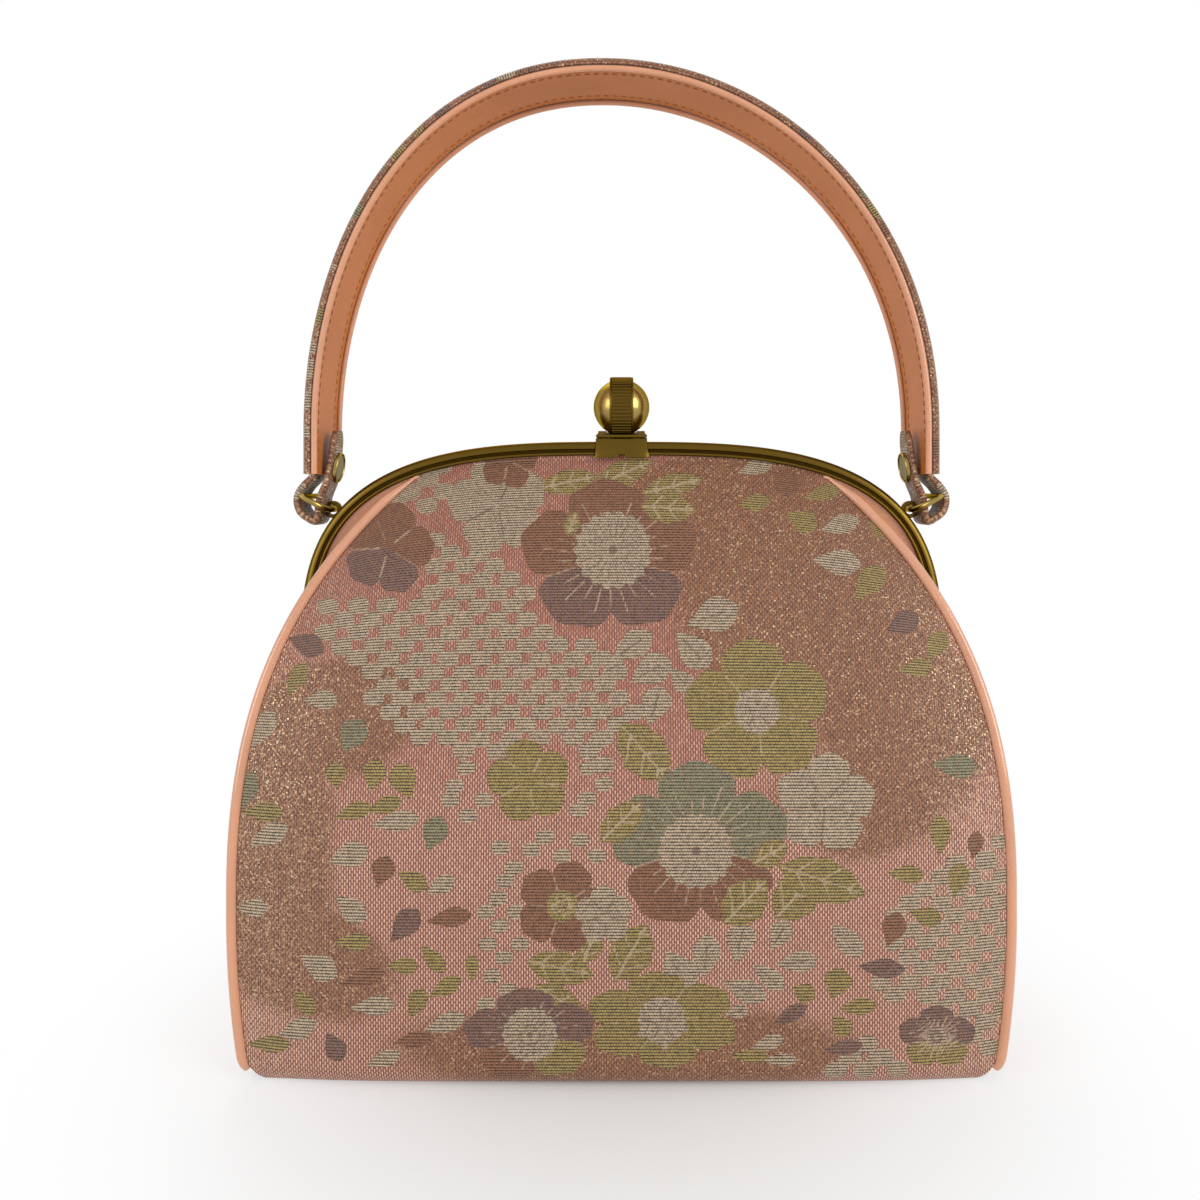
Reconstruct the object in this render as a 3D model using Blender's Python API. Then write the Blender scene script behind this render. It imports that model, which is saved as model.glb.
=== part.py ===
"""Kimono handbag: brocade panels over stiff boards, vinyl gussets and piping, a two-part
brass mouth frame with a flip clasp, and a stiff strap handle on two rings.

Metres, +Z up. The origin is the middle of the base, on the surface the bag stands on.
The front of the bag faces -Y, and its width runs along X.
"""

import math

import bmesh
import bpy
from mathutils import Vector

# Clearances
GAP = 0.0003                      # between pieces that touch on the real bag
OVERRUN = 0.002                   # how far a cutter runs past what it cuts

# Body
BODY_HALF_WIDTH = 0.1172          # brocade, at its widest
WIDEST_HEIGHT = 0.050
FOOT_TAPER = 0.0044               # how much narrower each side is at the base
BOTTOM_CORNER_RADIUS = 0.007
BODY_HALF_DEPTH = 0.046
STRAIGHT_HEIGHT = 0.060           # below this the front and the back stand upright
BASE_EDGE_RADIUS = 0.008          # where the brocade turns under
EDGE_ROLL = 0.006                 # how far the panel's side edges curl back
PANEL_THICKNESS = 0.0010
PANEL_LIFT = 0.0004               # the panels start this far above the base's lower face
SHOULDER_EXPONENT = 3.0
LEAN_EXPONENT = 1.8
EDGE_ROLL_EXPONENT = 6
ARCH_FOLLOW_EXPONENT = 3

# Stiffening boards and base
BOARD_THICKNESS = 0.0015
BOARD_TOP_DROP = 0.003            # the boards stop this far below the arch's foot
BOARD_SIDE_MARGIN = 0.006
BASE_THICKNESS = 0.0016

# Vinyl: gussets, bands and piping
PIPING_RADIUS = 0.0017
PIPING_SETBACK = 0.0008
PIPING_FOOT = 0.004
PIPING_TOP_DROP = 0.0082          # the piping ends this far below the panel's mouth
GUSSET_THICKNESS = 0.0012
GUSSET_TOP_DROP = 0.0010          # the side walls stop this far below the arch's foot
GUSSET_FOOT = 0.0025
BAND_THICKNESS = 0.0009
BAND_FOOT_RISE = 0.0005           # the bands begin this far above the arch's foot
BAND_SETBACK = 0.0033
BAND_TOP_MARGIN = 0.0108          # the band ends this far short of the panel's gripped stretch
BAND_TOP_DROP = 0.0045

# Mouth frame
ARCH_INSET = 0.0082               # the arch is this much narrower than the body, on each side
ARCH_FOOT = 0.120                 # height of the arch's spring line
ARCH_RISE = 0.0768
ARCH_EXPONENT = 3.1
GRIP_INSET = 0.0465               # the frame grips the panel from this far inside the arch's side
CHANNEL_DEPTH = 0.0047            # how far the channel reaches in from the arch
CHANNEL_WIDTH = 0.0063            # one half, front to back
CHANNEL_WALL = 0.0007
CHANNEL_CROWN = 0.0010            # thickness of the outer rim
CHANNEL_BEVEL = 0.0012
CHANNEL_GROOVE = 0.0004
CHANNEL_GROOVE_WIDTH = 0.0010
CHANNEL_END_RISE = 0.006          # the channels stop this far above the hinges
CLOTH_INSERT = 0.0028             # how far cloth is pushed into the channel
MOUTH_MARGIN = 0.0022             # cloth stays upright this far below the channel

# Frame hinges
HINGE_RISE = 0.005                # above the arch's foot
HINGE_EAR_RADIUS = 0.0050
HINGE_EAR_THICKNESS = 0.0011
HINGE_EAR_OVERLAP = 0.0003
HINGE_NECK_RISE = 0.012           # above the hinge's axis
HINGE_NECK_INSET = 0.0018
RIVET_RADIUS = 0.0014
RIVET_HEAD_RADIUS = 0.0026
RIVET_HEAD_THICKNESS = 0.0007

# Clasp
CATCH_HALF_WIDTH = 0.0086
CATCH_THICKNESS = 0.0008
CATCH_DROP = 0.0058
CATCH_SPREAD = 0.0007
CATCH_NOTCH_RADIUS = 0.0011
SADDLE_HALF_WIDTH = 0.0086
SADDLE_BACK_HALF_WIDTH = 0.0078
SADDLE_FRONT_HEIGHT = 0.0008
SADDLE_BACK_HEIGHT = 0.0027
SADDLE_FRONT_REACH = 0.0064
BARREL_RADIUS = 0.0015
BARREL_OFFSET = 0.0021            # barrel's axis behind the frame's rear face
BARREL_HALF_LENGTH = 0.0049
KNUCKLE_LENGTH = 0.0030
CLASP_PIN_RADIUS = 0.0007
BALL_RADIUS = 0.0096
BALL_CENTRE_RISE = 0.0120         # above the frame's top
WHEEL_RADIUS = 0.0103
WHEEL_HALF_WIDTH = 0.0040
WHEEL_RIM_WIDTH = 0.0007
WHEEL_BEAD_EDGE = 0.000175        # how far each bead's edge is eased
KNURL_DEPTH = 0.00035
KNURL_COUNT = 32
BALL_POLE_FLAT = 0.00004

# Handle
HANDLE_INSET = 0.0019             # the legs' outer faces stand this far inside the arch's width
LEG_FOOT_RISE = 0.0121            # from the eye of the lug to the end of the strap
LEG_LENGTH = 0.0142               # the straight stretch below the curve
HANDLE_RISE = 0.1256              # from there to the crown's outer face
HANDLE_EXPONENT = 2.08
HANDLE_LEAN = 0.0068              # the soft crown stands off to the bag's right hand side
HANDLE_LEAN_EXPONENT = 2.5
STRAP_WIDTH = 0.032
STRAP_THICKNESS = 0.0036
STRAP_EDGE_DROP = 0.0013
STRAP_SHOULDER_DROP = 0.00016     # how far the outer face falls before its edges turn down
HANDLE_PIPING_RADIUS = 0.0010
LINING_THICKNESS = 0.0010
LINING_MARGIN = 0.0024

# Rings, their lugs and the strap's tabs
LUG_INSET = 0.0115                # each lug stands this far inside the arch's side
LUG_THICKNESS = 0.0016
LUG_RADIUS = 0.0030
LUG_HOLE_RADIUS = 0.0017
LUG_FOOT_LENGTH = 0.0056
LUG_FOOT_THICKNESS = 0.0010
RING_WIRE_RADIUS = 0.0010
RING_HALF_WIDTH = 0.0100
RING_DEPTH = 0.0088
RING_RISE_DEGREES = 31.0
RING_EXPONENT = 3.0
TAB_HALF_WIDTH = 0.0066
TAB_TIP_HALF_WIDTH = 0.0045
TAB_THICKNESS = 0.0016
TAB_START_THICKNESS = 0.0030
TAB_REACH = 0.0049                # how far the loop swells outward past the leg
TAB_INSET = 0.0068                # from the strap's leg to the tip of the inner leg
TAB_DROP = 0.0150                 # from the strap's end to the bottom of the loop
TAB_RISE = 0.0155                 # how far the inner leg climbs past the strap's end
TAB_RIVET_RADIUS = 0.0052
TAB_RIVET_THICKNESS = 0.0013
TAB_RIVET_DOME = 0.0005

# Where the tab's middle line goes: outward share of its reach (or inward of its inset,
# when negative), then downward share of its drop (or upward of its rise, when negative)
TAB_PATH_SHARES = (
    (0.00, 0.00), (0.06, 0.08), (0.60, 0.28), (0.97, 0.52), (0.80, 0.80), (0.15, 0.97), (-0.10, 1.00),
    (-0.18, 0.92), (-0.22, 0.72), (-0.34, 0.45), (-0.62, 0.15), (-0.77, -0.15),
    (-0.87, -0.45), (-0.95, -0.75), (-1.00, -1.00))
TAB_THINNING = 6                  # the folded start thins out over one sixth of the tab
TAB_SOFT_SHARE = 0.25             # how much of the tab's thickness its edges round off
TAB_TIP_SHARE = 0.72              # where the tab begins to narrow to its tip
TAB_RIVET_SHARE = 0.80            # where the rivet sits along the tab

# How finely curved shapes are divided
ARCH_STEPS = 36
OUTLINE_SAMPLES = 1000
PANEL_COLUMNS = 14
PANEL_ROWS = 12
EDGE_ROWS = 4
BAND_STEPS = 12
WIRE_SIDES = 8
HANDLE_PIPING_SIDES = 6
HANDLE_STEPS = 22
LEG_STEPS = 2
RING_STEPS = 20
RING_BAR_STEPS = 5
ROUND_SIDES = 24
RIVET_SIDES = 14
BALL_STEPS = 6
HINGE_EAR_STEPS = 18
TAB_STEPS = 2

# Values worked out from the sizes above
ARCH_HALF_WIDTH = BODY_HALF_WIDTH - ARCH_INSET
PANEL_TOP_HALF_WIDTH = ARCH_HALF_WIDTH - GRIP_INSET    # the stretch of panel that the frame grips
BOARD_TOP = ARCH_FOOT - BOARD_TOP_DROP
GUSSET_TOP = ARCH_FOOT - GUSSET_TOP_DROP
BAND_FOOT = ARCH_FOOT + BAND_FOOT_RISE
HINGE_HEIGHT = ARCH_FOOT + HINGE_RISE
CHANNEL_END = HINGE_HEIGHT + CHANNEL_END_RISE
FRAME_TOP = ARCH_FOOT + ARCH_RISE
FRAME_FACE = GAP + CHANNEL_WIDTH                       # |Y| of a half's outer face
CLOTH_FACE = FRAME_FACE - CHANNEL_WALL - GAP           # |Y| of cloth inside the channel
LIP_INSET = CHANNEL_DEPTH + GAP
HANDLE_Y = GAP + CHANNEL_WIDTH / 2                     # the handle hangs on the rear half
HANDLE_HALF_WIDTH = ARCH_HALF_WIDTH - HANDLE_INSET     # outer face of the legs
LUG_ARCH_X = ARCH_HALF_WIDTH - LUG_INSET


def clear_scene():
    """Start from an empty file."""
    for obj in list(bpy.data.objects):
        bpy.data.objects.remove(obj, do_unlink=True)


def make_material(name, colour, roughness, metallic=0.0):
    """One Principled material with the piece's own colour and finish."""
    material = bpy.data.materials.new(name)
    material.use_nodes = True
    shader = material.node_tree.nodes["Principled BSDF"]
    shader.inputs["Base Color"].default_value = (*colour, 1.0)
    shader.inputs["Roughness"].default_value = roughness
    shader.inputs["Metallic"].default_value = metallic
    return material


def add_object(name, mesh, material, smooth_degrees=40.0):
    """Put a mesh in the scene as a named piece, shaded smooth up to an angle."""
    obj = bpy.data.objects.new(name, mesh)
    bpy.context.scene.collection.objects.link(obj)
    mesh.materials.clear()
    mesh.materials.append(material)
    mesh.shade_smooth()
    mesh.set_sharp_from_angle(angle=math.radians(smooth_degrees))
    return obj


def finish_bmesh(bm, name):
    """Turn a closed bmesh into a mesh whose faces point outward."""
    bmesh.ops.recalc_face_normals(bm, faces=bm.faces)
    mesh = bpy.data.meshes.new(name)
    bm.to_mesh(mesh)
    bm.free()
    return mesh


def loft_into(bm, rings, closed=False):
    """Skin a row of closed rings; the ends are capped unless the row itself closes."""
    loops = [[bm.verts.new(point) for point in ring] for ring in rings]
    count = len(loops[0])
    spans = len(loops) if closed else len(loops) - 1
    for index in range(spans):
        first = loops[index]
        second = loops[(index + 1) % len(loops)]
        for side in range(count):
            following = (side + 1) % count
            bm.faces.new((first[side], first[following], second[following], second[side]))
    if not closed:
        bm.faces.new(loops[0])
        bm.faces.new(loops[-1])


def loft(name, rings, material, closed=False, smooth_degrees=40.0):
    """One piece lofted through a row of rings."""
    bm = bmesh.new()
    loft_into(bm, rings, closed)
    return add_object(name, finish_bmesh(bm, name), material, smooth_degrees)


def boolean(obj, other, operation):
    """Apply one Boolean to a piece, then remove the other object."""
    modifier = obj.modifiers.new("Cut", "BOOLEAN")
    modifier.operation = operation
    modifier.object = other
    modifier.solver = "EXACT"
    bpy.context.view_layer.update()
    graph = bpy.context.evaluated_depsgraph_get()
    result = bpy.data.meshes.new_from_object(obj.evaluated_get(graph))
    obj.modifiers.remove(modifier)
    obj.data = result
    bpy.data.objects.remove(other, do_unlink=True)


def circle_ring(centre, first, second, radius, sides):
    """A ring of points round a centre, in the plane of two unit vectors."""
    ring = []
    for index in range(sides):
        angle = math.tau * index / sides
        ring.append(centre + first * radius * math.cos(angle) + second * radius * math.sin(angle))
    return ring


def turned(name, stations, centre, material, sides=ROUND_SIDES, smooth_degrees=40.0):
    """A solid turned about a line along X: stations are (distance along X, radius)."""
    up = Vector((0, 0, 1))
    back = Vector((0, 1, 0))
    rings = []
    for along, radius in stations:
        middle = centre + Vector((along, 0, 0))
        rings.append(circle_ring(middle, back, up, radius, sides))
    return loft(name, rings, material, smooth_degrees=smooth_degrees)


def tube(name, path, flat_normal, radius, material, closed=False, sides=WIRE_SIDES):
    """A round cord swept along a path that lies in or near the plane with this normal."""
    rings = []
    count = len(path)
    for index, point in enumerate(path):
        if closed:
            ahead, behind = path[(index + 1) % count], path[index - 1]
        else:
            ahead, behind = path[min(index + 1, count - 1)], path[max(index - 1, 0)]
        along = (ahead - behind).normalized()
        side = along.cross(flat_normal).normalized()
        rings.append(circle_ring(point, side, along.cross(side), radius, sides))
    return loft(name, rings, material, closed=closed)


# Outlines of the body, the frame and the handle


def arch_point(angle, inset=0.0):
    """A point and outward direction on the frame's arch; the angle runs from the left foot."""
    power = 2.0 / ARCH_EXPONENT
    cosine, sine = math.cos(angle), math.sin(angle)
    x = -math.copysign(abs(cosine) ** power, cosine) * ARCH_HALF_WIDTH
    z = ARCH_FOOT + abs(sine) ** power * ARCH_RISE
    slope_x = math.copysign(abs(x / ARCH_HALF_WIDTH) ** (ARCH_EXPONENT - 1), x) / ARCH_HALF_WIDTH
    slope_z = abs((z - ARCH_FOOT) / ARCH_RISE) ** (ARCH_EXPONENT - 1) / ARCH_RISE
    outward = Vector((slope_x, 0, slope_z)).normalized()
    return Vector((x, 0, z)) - outward * inset, outward


def arch_height(x):
    """Height of the frame's outer line at a distance from the middle."""
    share = min(abs(x / ARCH_HALF_WIDTH), 1.0) ** ARCH_EXPONENT
    return ARCH_FOOT + ARCH_RISE * (1 - share) ** (1 / ARCH_EXPONENT)


def arch_angle_at_height(height):
    """The arch's angle, near the left foot, at which it reaches a height."""
    return math.asin(((height - ARCH_FOOT) / ARCH_RISE) ** (ARCH_EXPONENT / 2))


def arch_angle_at_x(x):
    """The arch's angle on the left at which it is this far from the middle."""
    return math.acos((x / ARCH_HALF_WIDTH) ** (ARCH_EXPONENT / 2))


def lug_eye(side_sign):
    """The centre of a lug's eye and the arch's outward direction there."""
    point, outward = arch_point(arch_angle_at_x(LUG_ARCH_X))
    eye = point + outward * (LUG_RADIUS + GAP)
    return (Vector((-side_sign * eye.x, HANDLE_Y, eye.z)),
            Vector((-side_sign * outward.x, 0, outward.z)))


PANEL_TOP = arch_height(PANEL_TOP_HALF_WIDTH) - CHANNEL_DEPTH + CLOTH_INSERT
PANEL_MOUTH = PANEL_TOP - CLOTH_INSERT - MOUTH_MARGIN  # where the cloth leaves the channel
PIPING_TOP = PANEL_MOUTH - PIPING_TOP_DROP
HANDLE_LEG_FOOT = lug_eye(1)[0].z + LEG_FOOT_RISE
HANDLE_SPRING = HANDLE_LEG_FOOT + LEG_LENGTH           # height at which the legs begin to curve


def body_half_width(height):
    """Half-width of the brocade panels, without the piping."""
    if height > WIDEST_HEIGHT:
        share = (height - WIDEST_HEIGHT) / (PANEL_TOP - WIDEST_HEIGHT)
        return BODY_HALF_WIDTH - (BODY_HALF_WIDTH - PANEL_TOP_HALF_WIDTH) * share ** SHOULDER_EXPONENT
    share = (WIDEST_HEIGHT - height) / WIDEST_HEIGHT
    width = BODY_HALF_WIDTH - FOOT_TAPER * share ** 2
    if height < BOTTOM_CORNER_RADIUS:
        lack = BOTTOM_CORNER_RADIUS - height
        width -= BOTTOM_CORNER_RADIUS - math.sqrt(BOTTOM_CORNER_RADIUS ** 2 - lack ** 2)
    return width


def body_half_depth(height):
    """Depth of the brocade's outer face at its middle."""
    share = (height - STRAIGHT_HEIGHT) / (PANEL_MOUTH - STRAIGHT_HEIGHT)
    share = min(max(share, 0.0), 1.0)
    return CLOTH_FACE + (BODY_HALF_DEPTH - CLOTH_FACE) * (1 - share ** LEAN_EXPONENT)


def edge_half_depth(height):
    """Depth of the brocade's outer face at its side edges."""
    depth = body_half_depth(height)
    return depth - EDGE_ROLL * (depth - CLOTH_FACE) / (BODY_HALF_DEPTH - CLOTH_FACE)


def outline_normal(height):
    """Outward direction of the panel's side outline, on the +X side."""
    step = (PANEL_TOP - WIDEST_HEIGHT) / OUTLINE_SAMPLES
    slope = (body_half_width(height + step) - body_half_width(height - step)) / (step + step)
    return Vector((1, 0, -slope)).normalized()


# Panels and boards


def panel_point(across, height, depth_inset=0.0, width_inset=0.0):
    """A point on the front panel's outer face, moved inward where asked."""
    half_width = body_half_width(height) - width_inset
    x = across * half_width
    centre_depth = body_half_depth(height)
    roll = (centre_depth - edge_half_depth(height)) * abs(across) ** EDGE_ROLL_EXPONENT
    follow = max(0.0, (height - STRAIGHT_HEIGHT) / (PANEL_TOP - STRAIGHT_HEIGHT)) ** ARCH_FOLLOW_EXPONENT
    rise = (arch_height(x) - arch_height(half_width)) * follow
    return Vector((x, -(centre_depth - roll - depth_inset), height + rise))


def turned_under_point(across, turn, depth_inset, width_inset):
    """A point on the round lower edge; turn runs from 0 under the base to a right angle."""
    radius = BASE_EDGE_RADIUS - depth_inset
    height = PANEL_LIFT + BASE_EDGE_RADIUS - radius * math.cos(turn)
    edge_height = max(height, PANEL_LIFT + GAP)
    half_width = body_half_width(edge_height) - width_inset
    x = across * half_width
    roll = EDGE_ROLL * abs(across) ** EDGE_ROLL_EXPONENT * math.sin(turn)
    depth = BODY_HALF_DEPTH - BASE_EDGE_RADIUS + radius * math.sin(turn) - roll
    return Vector((x, -depth, height))


def shell_rings(rows):
    """Rings of a sheet with thickness, from rows of (outer points, inner points)."""
    return [outer + list(reversed(inner)) for outer, inner in rows]


def panel_rows():
    """Rows of the front brocade panel from under the base to the frame."""
    shares = [2 * index / PANEL_COLUMNS - 1 for index in range(PANEL_COLUMNS + 1)]
    rows = []
    for index in range(EDGE_ROWS):
        turn = math.pi / 2 * index / EDGE_ROWS
        outer = [turned_under_point(share, turn, 0, 0) for share in shares]
        inner = [turned_under_point(share, turn, PANEL_THICKNESS, 0) for share in shares]
        rows.append((outer, inner))
    foot = PANEL_LIFT + BASE_EDGE_RADIUS
    heights = [foot + (PANEL_MOUTH - foot) * index / PANEL_ROWS for index in range(PANEL_ROWS + 1)]
    heights.append(PANEL_TOP)
    for height in heights:
        outer = [panel_point(share, height) for share in shares]
        inner = [panel_point(share, height, PANEL_THICKNESS) for share in shares]
        rows.append((outer, inner))
    return rows


def mirrored(rings):
    """The same rings on the other side of the bag, front to back."""
    return [[Vector((point.x, -point.y, point.z)) for point in ring] for ring in rings]


def mirrored_sideways(rings):
    """The same rings on the other side of the bag, left to right."""
    return [[Vector((-point.x, point.y, point.z)) for point in ring] for ring in rings]


def build_panels(brocade):
    """Front and rear brocade, each one sheet from under the base up into the frame."""
    rings = shell_rings(panel_rows())
    loft("front_panel", rings, brocade)
    loft("rear_panel", mirrored(rings), brocade)


def build_boards(board, brocade):
    """The stiff boards inside the lower body, and the flat base it stands on."""
    inset = PANEL_THICKNESS + GAP
    shares = [2 * index / PANEL_COLUMNS - 1 for index in range(PANEL_COLUMNS + 1)]
    rows = []
    start = PANEL_LIFT + BASE_EDGE_RADIUS
    for index in range(PANEL_ROWS // 2 + 1):
        height = start + (BOARD_TOP - start) * index / (PANEL_ROWS // 2)
        outer = [panel_point(share, height, inset, BOARD_SIDE_MARGIN) for share in shares]
        inner = [panel_point(share, height, inset + BOARD_THICKNESS, BOARD_SIDE_MARGIN) for share in shares]
        rows.append((outer, inner))
    rings = shell_rings(rows)
    loft("front_board", rings, board)
    loft("rear_board", mirrored(rings), board)

    flat_half_depth = BODY_HALF_DEPTH - BASE_EDGE_RADIUS - GAP
    flat_half_width = body_half_width(PANEL_LIFT + GAP)
    loft("base_panel", slab_rings(flat_half_width, flat_half_depth, 0, BASE_THICKNESS), brocade)
    board_half_depth = BODY_HALF_DEPTH - BASE_EDGE_RADIUS
    lower = BASE_THICKNESS + GAP
    board_half_width = flat_half_width - BOARD_SIDE_MARGIN
    rings = slab_rings(board_half_width, board_half_depth, lower, lower + BOARD_THICKNESS)
    loft("base_board", rings, board)


def slab_rings(half_width, half_depth, low, high):
    """A flat plate with rounded corners, as a loft of two outlines."""
    radius = BOTTOM_CORNER_RADIUS
    outline = []
    corners = ((1, 1, 0), (-1, 1, 1), (-1, -1, 2), (1, -1, 3))
    for sign_x, sign_y, quarter in corners:
        centre = Vector((sign_x * (half_width - radius), sign_y * (half_depth - radius), 0))
        for index in range(EDGE_ROWS + 1):
            angle = math.pi / 2 * (quarter + index / EDGE_ROWS)
            outline.append(centre + Vector((math.cos(angle), math.sin(angle), 0)) * radius)
    return [[Vector((point.x, point.y, height)) for point in outline] for height in (low, high)]


# Gussets, bands and piping


def gusset_rings():
    """The right-hand side wall, behind the piping, up to the frame's hinges."""
    rings = []
    for index in range(PANEL_ROWS + 1):
        height = GUSSET_FOOT + (GUSSET_TOP - GUSSET_FOOT) * index / PANEL_ROWS
        inner = body_half_width(height) + GAP
        outer = inner + GUSSET_THICKNESS
        sinking = max(0.0, PANEL_LIFT + BASE_EDGE_RADIUS - height)
        curl = BASE_EDGE_RADIUS - math.sqrt(BASE_EDGE_RADIUS ** 2 - sinking ** 2)
        reach = edge_half_depth(height) - PIPING_SETBACK - PIPING_RADIUS - GAP - curl
        rings.append([Vector((x, y, height)) for x, y in (
            (inner, -reach), (outer, -reach), (outer, 0), (outer, reach), (inner, reach), (inner, 0))])
    return rings


def piping_path():
    """The middle line of the front right-hand piping, from the base to the frame."""
    path = []
    steps = PANEL_ROWS + BAND_STEPS
    for index in range(steps + 1):
        height = PIPING_FOOT + (PIPING_TOP - PIPING_FOOT) * index / steps
        sinking = max(0.0, PANEL_LIFT + BASE_EDGE_RADIUS - height)
        curl = BASE_EDGE_RADIUS - math.sqrt(BASE_EDGE_RADIUS ** 2 - sinking ** 2)
        edge = Vector((body_half_width(height), -(edge_half_depth(height) - PIPING_SETBACK - curl), height))
        path.append(edge + outline_normal(max(height, WIDEST_HEIGHT)) * (PIPING_RADIUS + GAP))
    return path


def band_rings():
    """The vinyl strip between the front piping and the right arm of the frame."""
    start = arch_angle_at_height(BAND_FOOT)
    end = arch_angle_at_x(PANEL_TOP_HALF_WIDTH + BAND_TOP_MARGIN)
    top = PANEL_MOUTH - BAND_TOP_DROP
    rings = []
    for index in range(BAND_STEPS + 1):
        share = index / BAND_STEPS
        angle = start + (end - start) * share
        lip = arch_point(angle, LIP_INSET + BAND_THICKNESS)[0]
        tip, outward = arch_point(angle, CHANNEL_DEPTH - CLOTH_INSERT + BAND_THICKNESS)
        height = BAND_FOOT + (top - BAND_FOOT) * share
        normal = outline_normal(height)
        edge_depth = edge_half_depth(height) - BAND_SETBACK
        edge = Vector((-body_half_width(height), 0, height)) + Vector((-normal.x, 0, normal.z)) * GAP
        face = CLOTH_FACE
        back = CLOTH_FACE - BAND_THICKNESS
        reach = max(edge_depth, face)
        ring = [Vector((edge.x, -reach, edge.z)) + outward * BAND_THICKNESS,
                Vector((lip.x, -face, lip.z)), Vector((tip.x, -face, tip.z)),
                Vector((tip.x, -back, tip.z)), Vector((lip.x, -back, lip.z)),
                Vector((edge.x, -reach + BAND_THICKNESS, edge.z))]
        rings.append(ring)
    return mirrored_sideways(rings)


def build_vinyl(vinyl):
    """Side walls, the strips beside the frame's arms and all the piping."""
    rings = gusset_rings()
    loft("right_gusset", rings, vinyl)
    loft("left_gusset", mirrored_sideways(rings), vinyl)
    band = band_rings()
    loft("front_band_right", band, vinyl)
    loft("front_band_left", mirrored_sideways(band), vinyl)
    loft("rear_band_right", mirrored(band), vinyl)
    loft("rear_band_left", mirrored(mirrored_sideways(band)), vinyl)
    front = {"right": piping_path()}
    front["left"] = mirrored_sideways([front["right"]])[0]
    facing = Vector((0, 1, 0))
    for side, path in front.items():
        tube("front_piping_" + side, path, facing, PIPING_RADIUS, vinyl)
        tube("rear_piping_" + side, mirrored([path])[0], facing, PIPING_RADIUS, vinyl)


# Mouth frame


def channel_profile():
    """The folded section of one frame half, as (depth front to back, inset from the arch)."""
    near, far = GAP, FRAME_FACE
    groove = CHANNEL_DEPTH - CHANNEL_WALL - CHANNEL_GROOVE_WIDTH
    return (
        (near, CHANNEL_DEPTH), (near, CHANNEL_WALL), (near + CHANNEL_WALL, 0),
        (far - CHANNEL_BEVEL, 0), (far - CHANNEL_GROOVE, CHANNEL_BEVEL - CHANNEL_GROOVE),
        (far, CHANNEL_BEVEL + CHANNEL_GROOVE), (far, groove - CHANNEL_GROOVE),
        (far - CHANNEL_GROOVE, groove), (far, groove + CHANNEL_GROOVE), (far, CHANNEL_DEPTH),
        (far - CHANNEL_WALL, CHANNEL_DEPTH), (far - CHANNEL_WALL, CHANNEL_CROWN),
        (near + CHANNEL_WALL, CHANNEL_CROWN), (near + CHANNEL_WALL, CHANNEL_DEPTH))


def half_frame(name, side, ear_inner, brass):
    """One channel of the frame with its two hinge ears; side is -1 in front, 1 behind."""
    start = arch_angle_at_height(CHANNEL_END)
    profile = channel_profile()
    rings = []
    for index in range(ARCH_STEPS + 1):
        angle = start + (math.pi - 2 * start) * index / ARCH_STEPS
        ring = []
        for depth, inset in profile:
            point = arch_point(angle, inset)[0]
            ring.append(Vector((point.x, side * depth, point.z)))
        rings.append(ring)
    frame = loft(name, rings, brass, smooth_degrees=35.0)
    for sign in (-1, 1):
        boolean(frame, hinge_ear(sign, side, ear_inner), "UNION")
    hole_start = Vector((-ARCH_HALF_WIDTH - OVERRUN, 0, HINGE_HEIGHT))
    length = ARCH_HALF_WIDTH + OVERRUN
    hole = turned("hinge_hole", ((0, RIVET_RADIUS + GAP), (length + length, RIVET_RADIUS + GAP)),
                  hole_start, brass, RIVET_SIDES)
    boolean(frame, hole, "DIFFERENCE")
    frame.data.materials.clear()
    frame.data.materials.append(brass)


def hinge_ear(sign, side, ear_inner):
    """A flat round ear on an arm's foot, with the neck that runs up inside the channel."""
    outline = []
    neck_far = FRAME_FACE - HINGE_NECK_INSET
    neck_near = GAP + CHANNEL_WALL / 2
    start = math.acos(neck_near / HINGE_EAR_RADIUS)
    turn = math.tau - start + math.acos(neck_far / HINGE_EAR_RADIUS)
    for index in range(HINGE_EAR_STEPS + 1):
        angle = start + turn * index / HINGE_EAR_STEPS
        outline.append((math.cos(angle) * HINGE_EAR_RADIUS, math.sin(angle) * HINGE_EAR_RADIUS))
    outline.append((neck_far, HINGE_NECK_RISE))
    outline.append((neck_near, HINGE_NECK_RISE))
    rings = []
    for x in (ear_inner, ear_inner + HINGE_EAR_THICKNESS):
        rings.append([Vector((sign * x, side * depth, HINGE_HEIGHT + rise)) for depth, rise in outline])
    bm = bmesh.new()
    loft_into(bm, rings)
    mesh = finish_bmesh(bm, "hinge_ear")
    ear = bpy.data.objects.new("hinge_ear", mesh)
    bpy.context.scene.collection.objects.link(ear)
    return ear


def build_frame(brass):
    """Both halves of the mouth frame and the rivets they turn on."""
    front_inner = ARCH_HALF_WIDTH - CHANNEL_CROWN + HINGE_EAR_OVERLAP - HINGE_EAR_THICKNESS
    rear_inner = front_inner + HINGE_EAR_THICKNESS + GAP
    half_frame("front_frame", -1, front_inner, brass)
    half_frame("rear_frame", 1, rear_inner, brass)
    inside = front_inner - GAP
    outside = rear_inner + HINGE_EAR_THICKNESS + GAP
    stations = (
        (inside - RIVET_HEAD_THICKNESS, RIVET_HEAD_RADIUS), (inside, RIVET_HEAD_RADIUS),
        (inside, RIVET_RADIUS), (outside, RIVET_RADIUS), (outside, RIVET_HEAD_RADIUS),
        (outside + RIVET_HEAD_THICKNESS / 2, RIVET_HEAD_RADIUS),
        (outside + RIVET_HEAD_THICKNESS, RIVET_RADIUS))
    centre = Vector((0, 0, HINGE_HEIGHT))
    for side, sign in (("right", 1), ("left", -1)):
        mirrored_stations = [(sign * along, radius) for along, radius in stations]
        turned("hinge_rivet_" + side, mirrored_stations, centre, brass, RIVET_SIDES)


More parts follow.
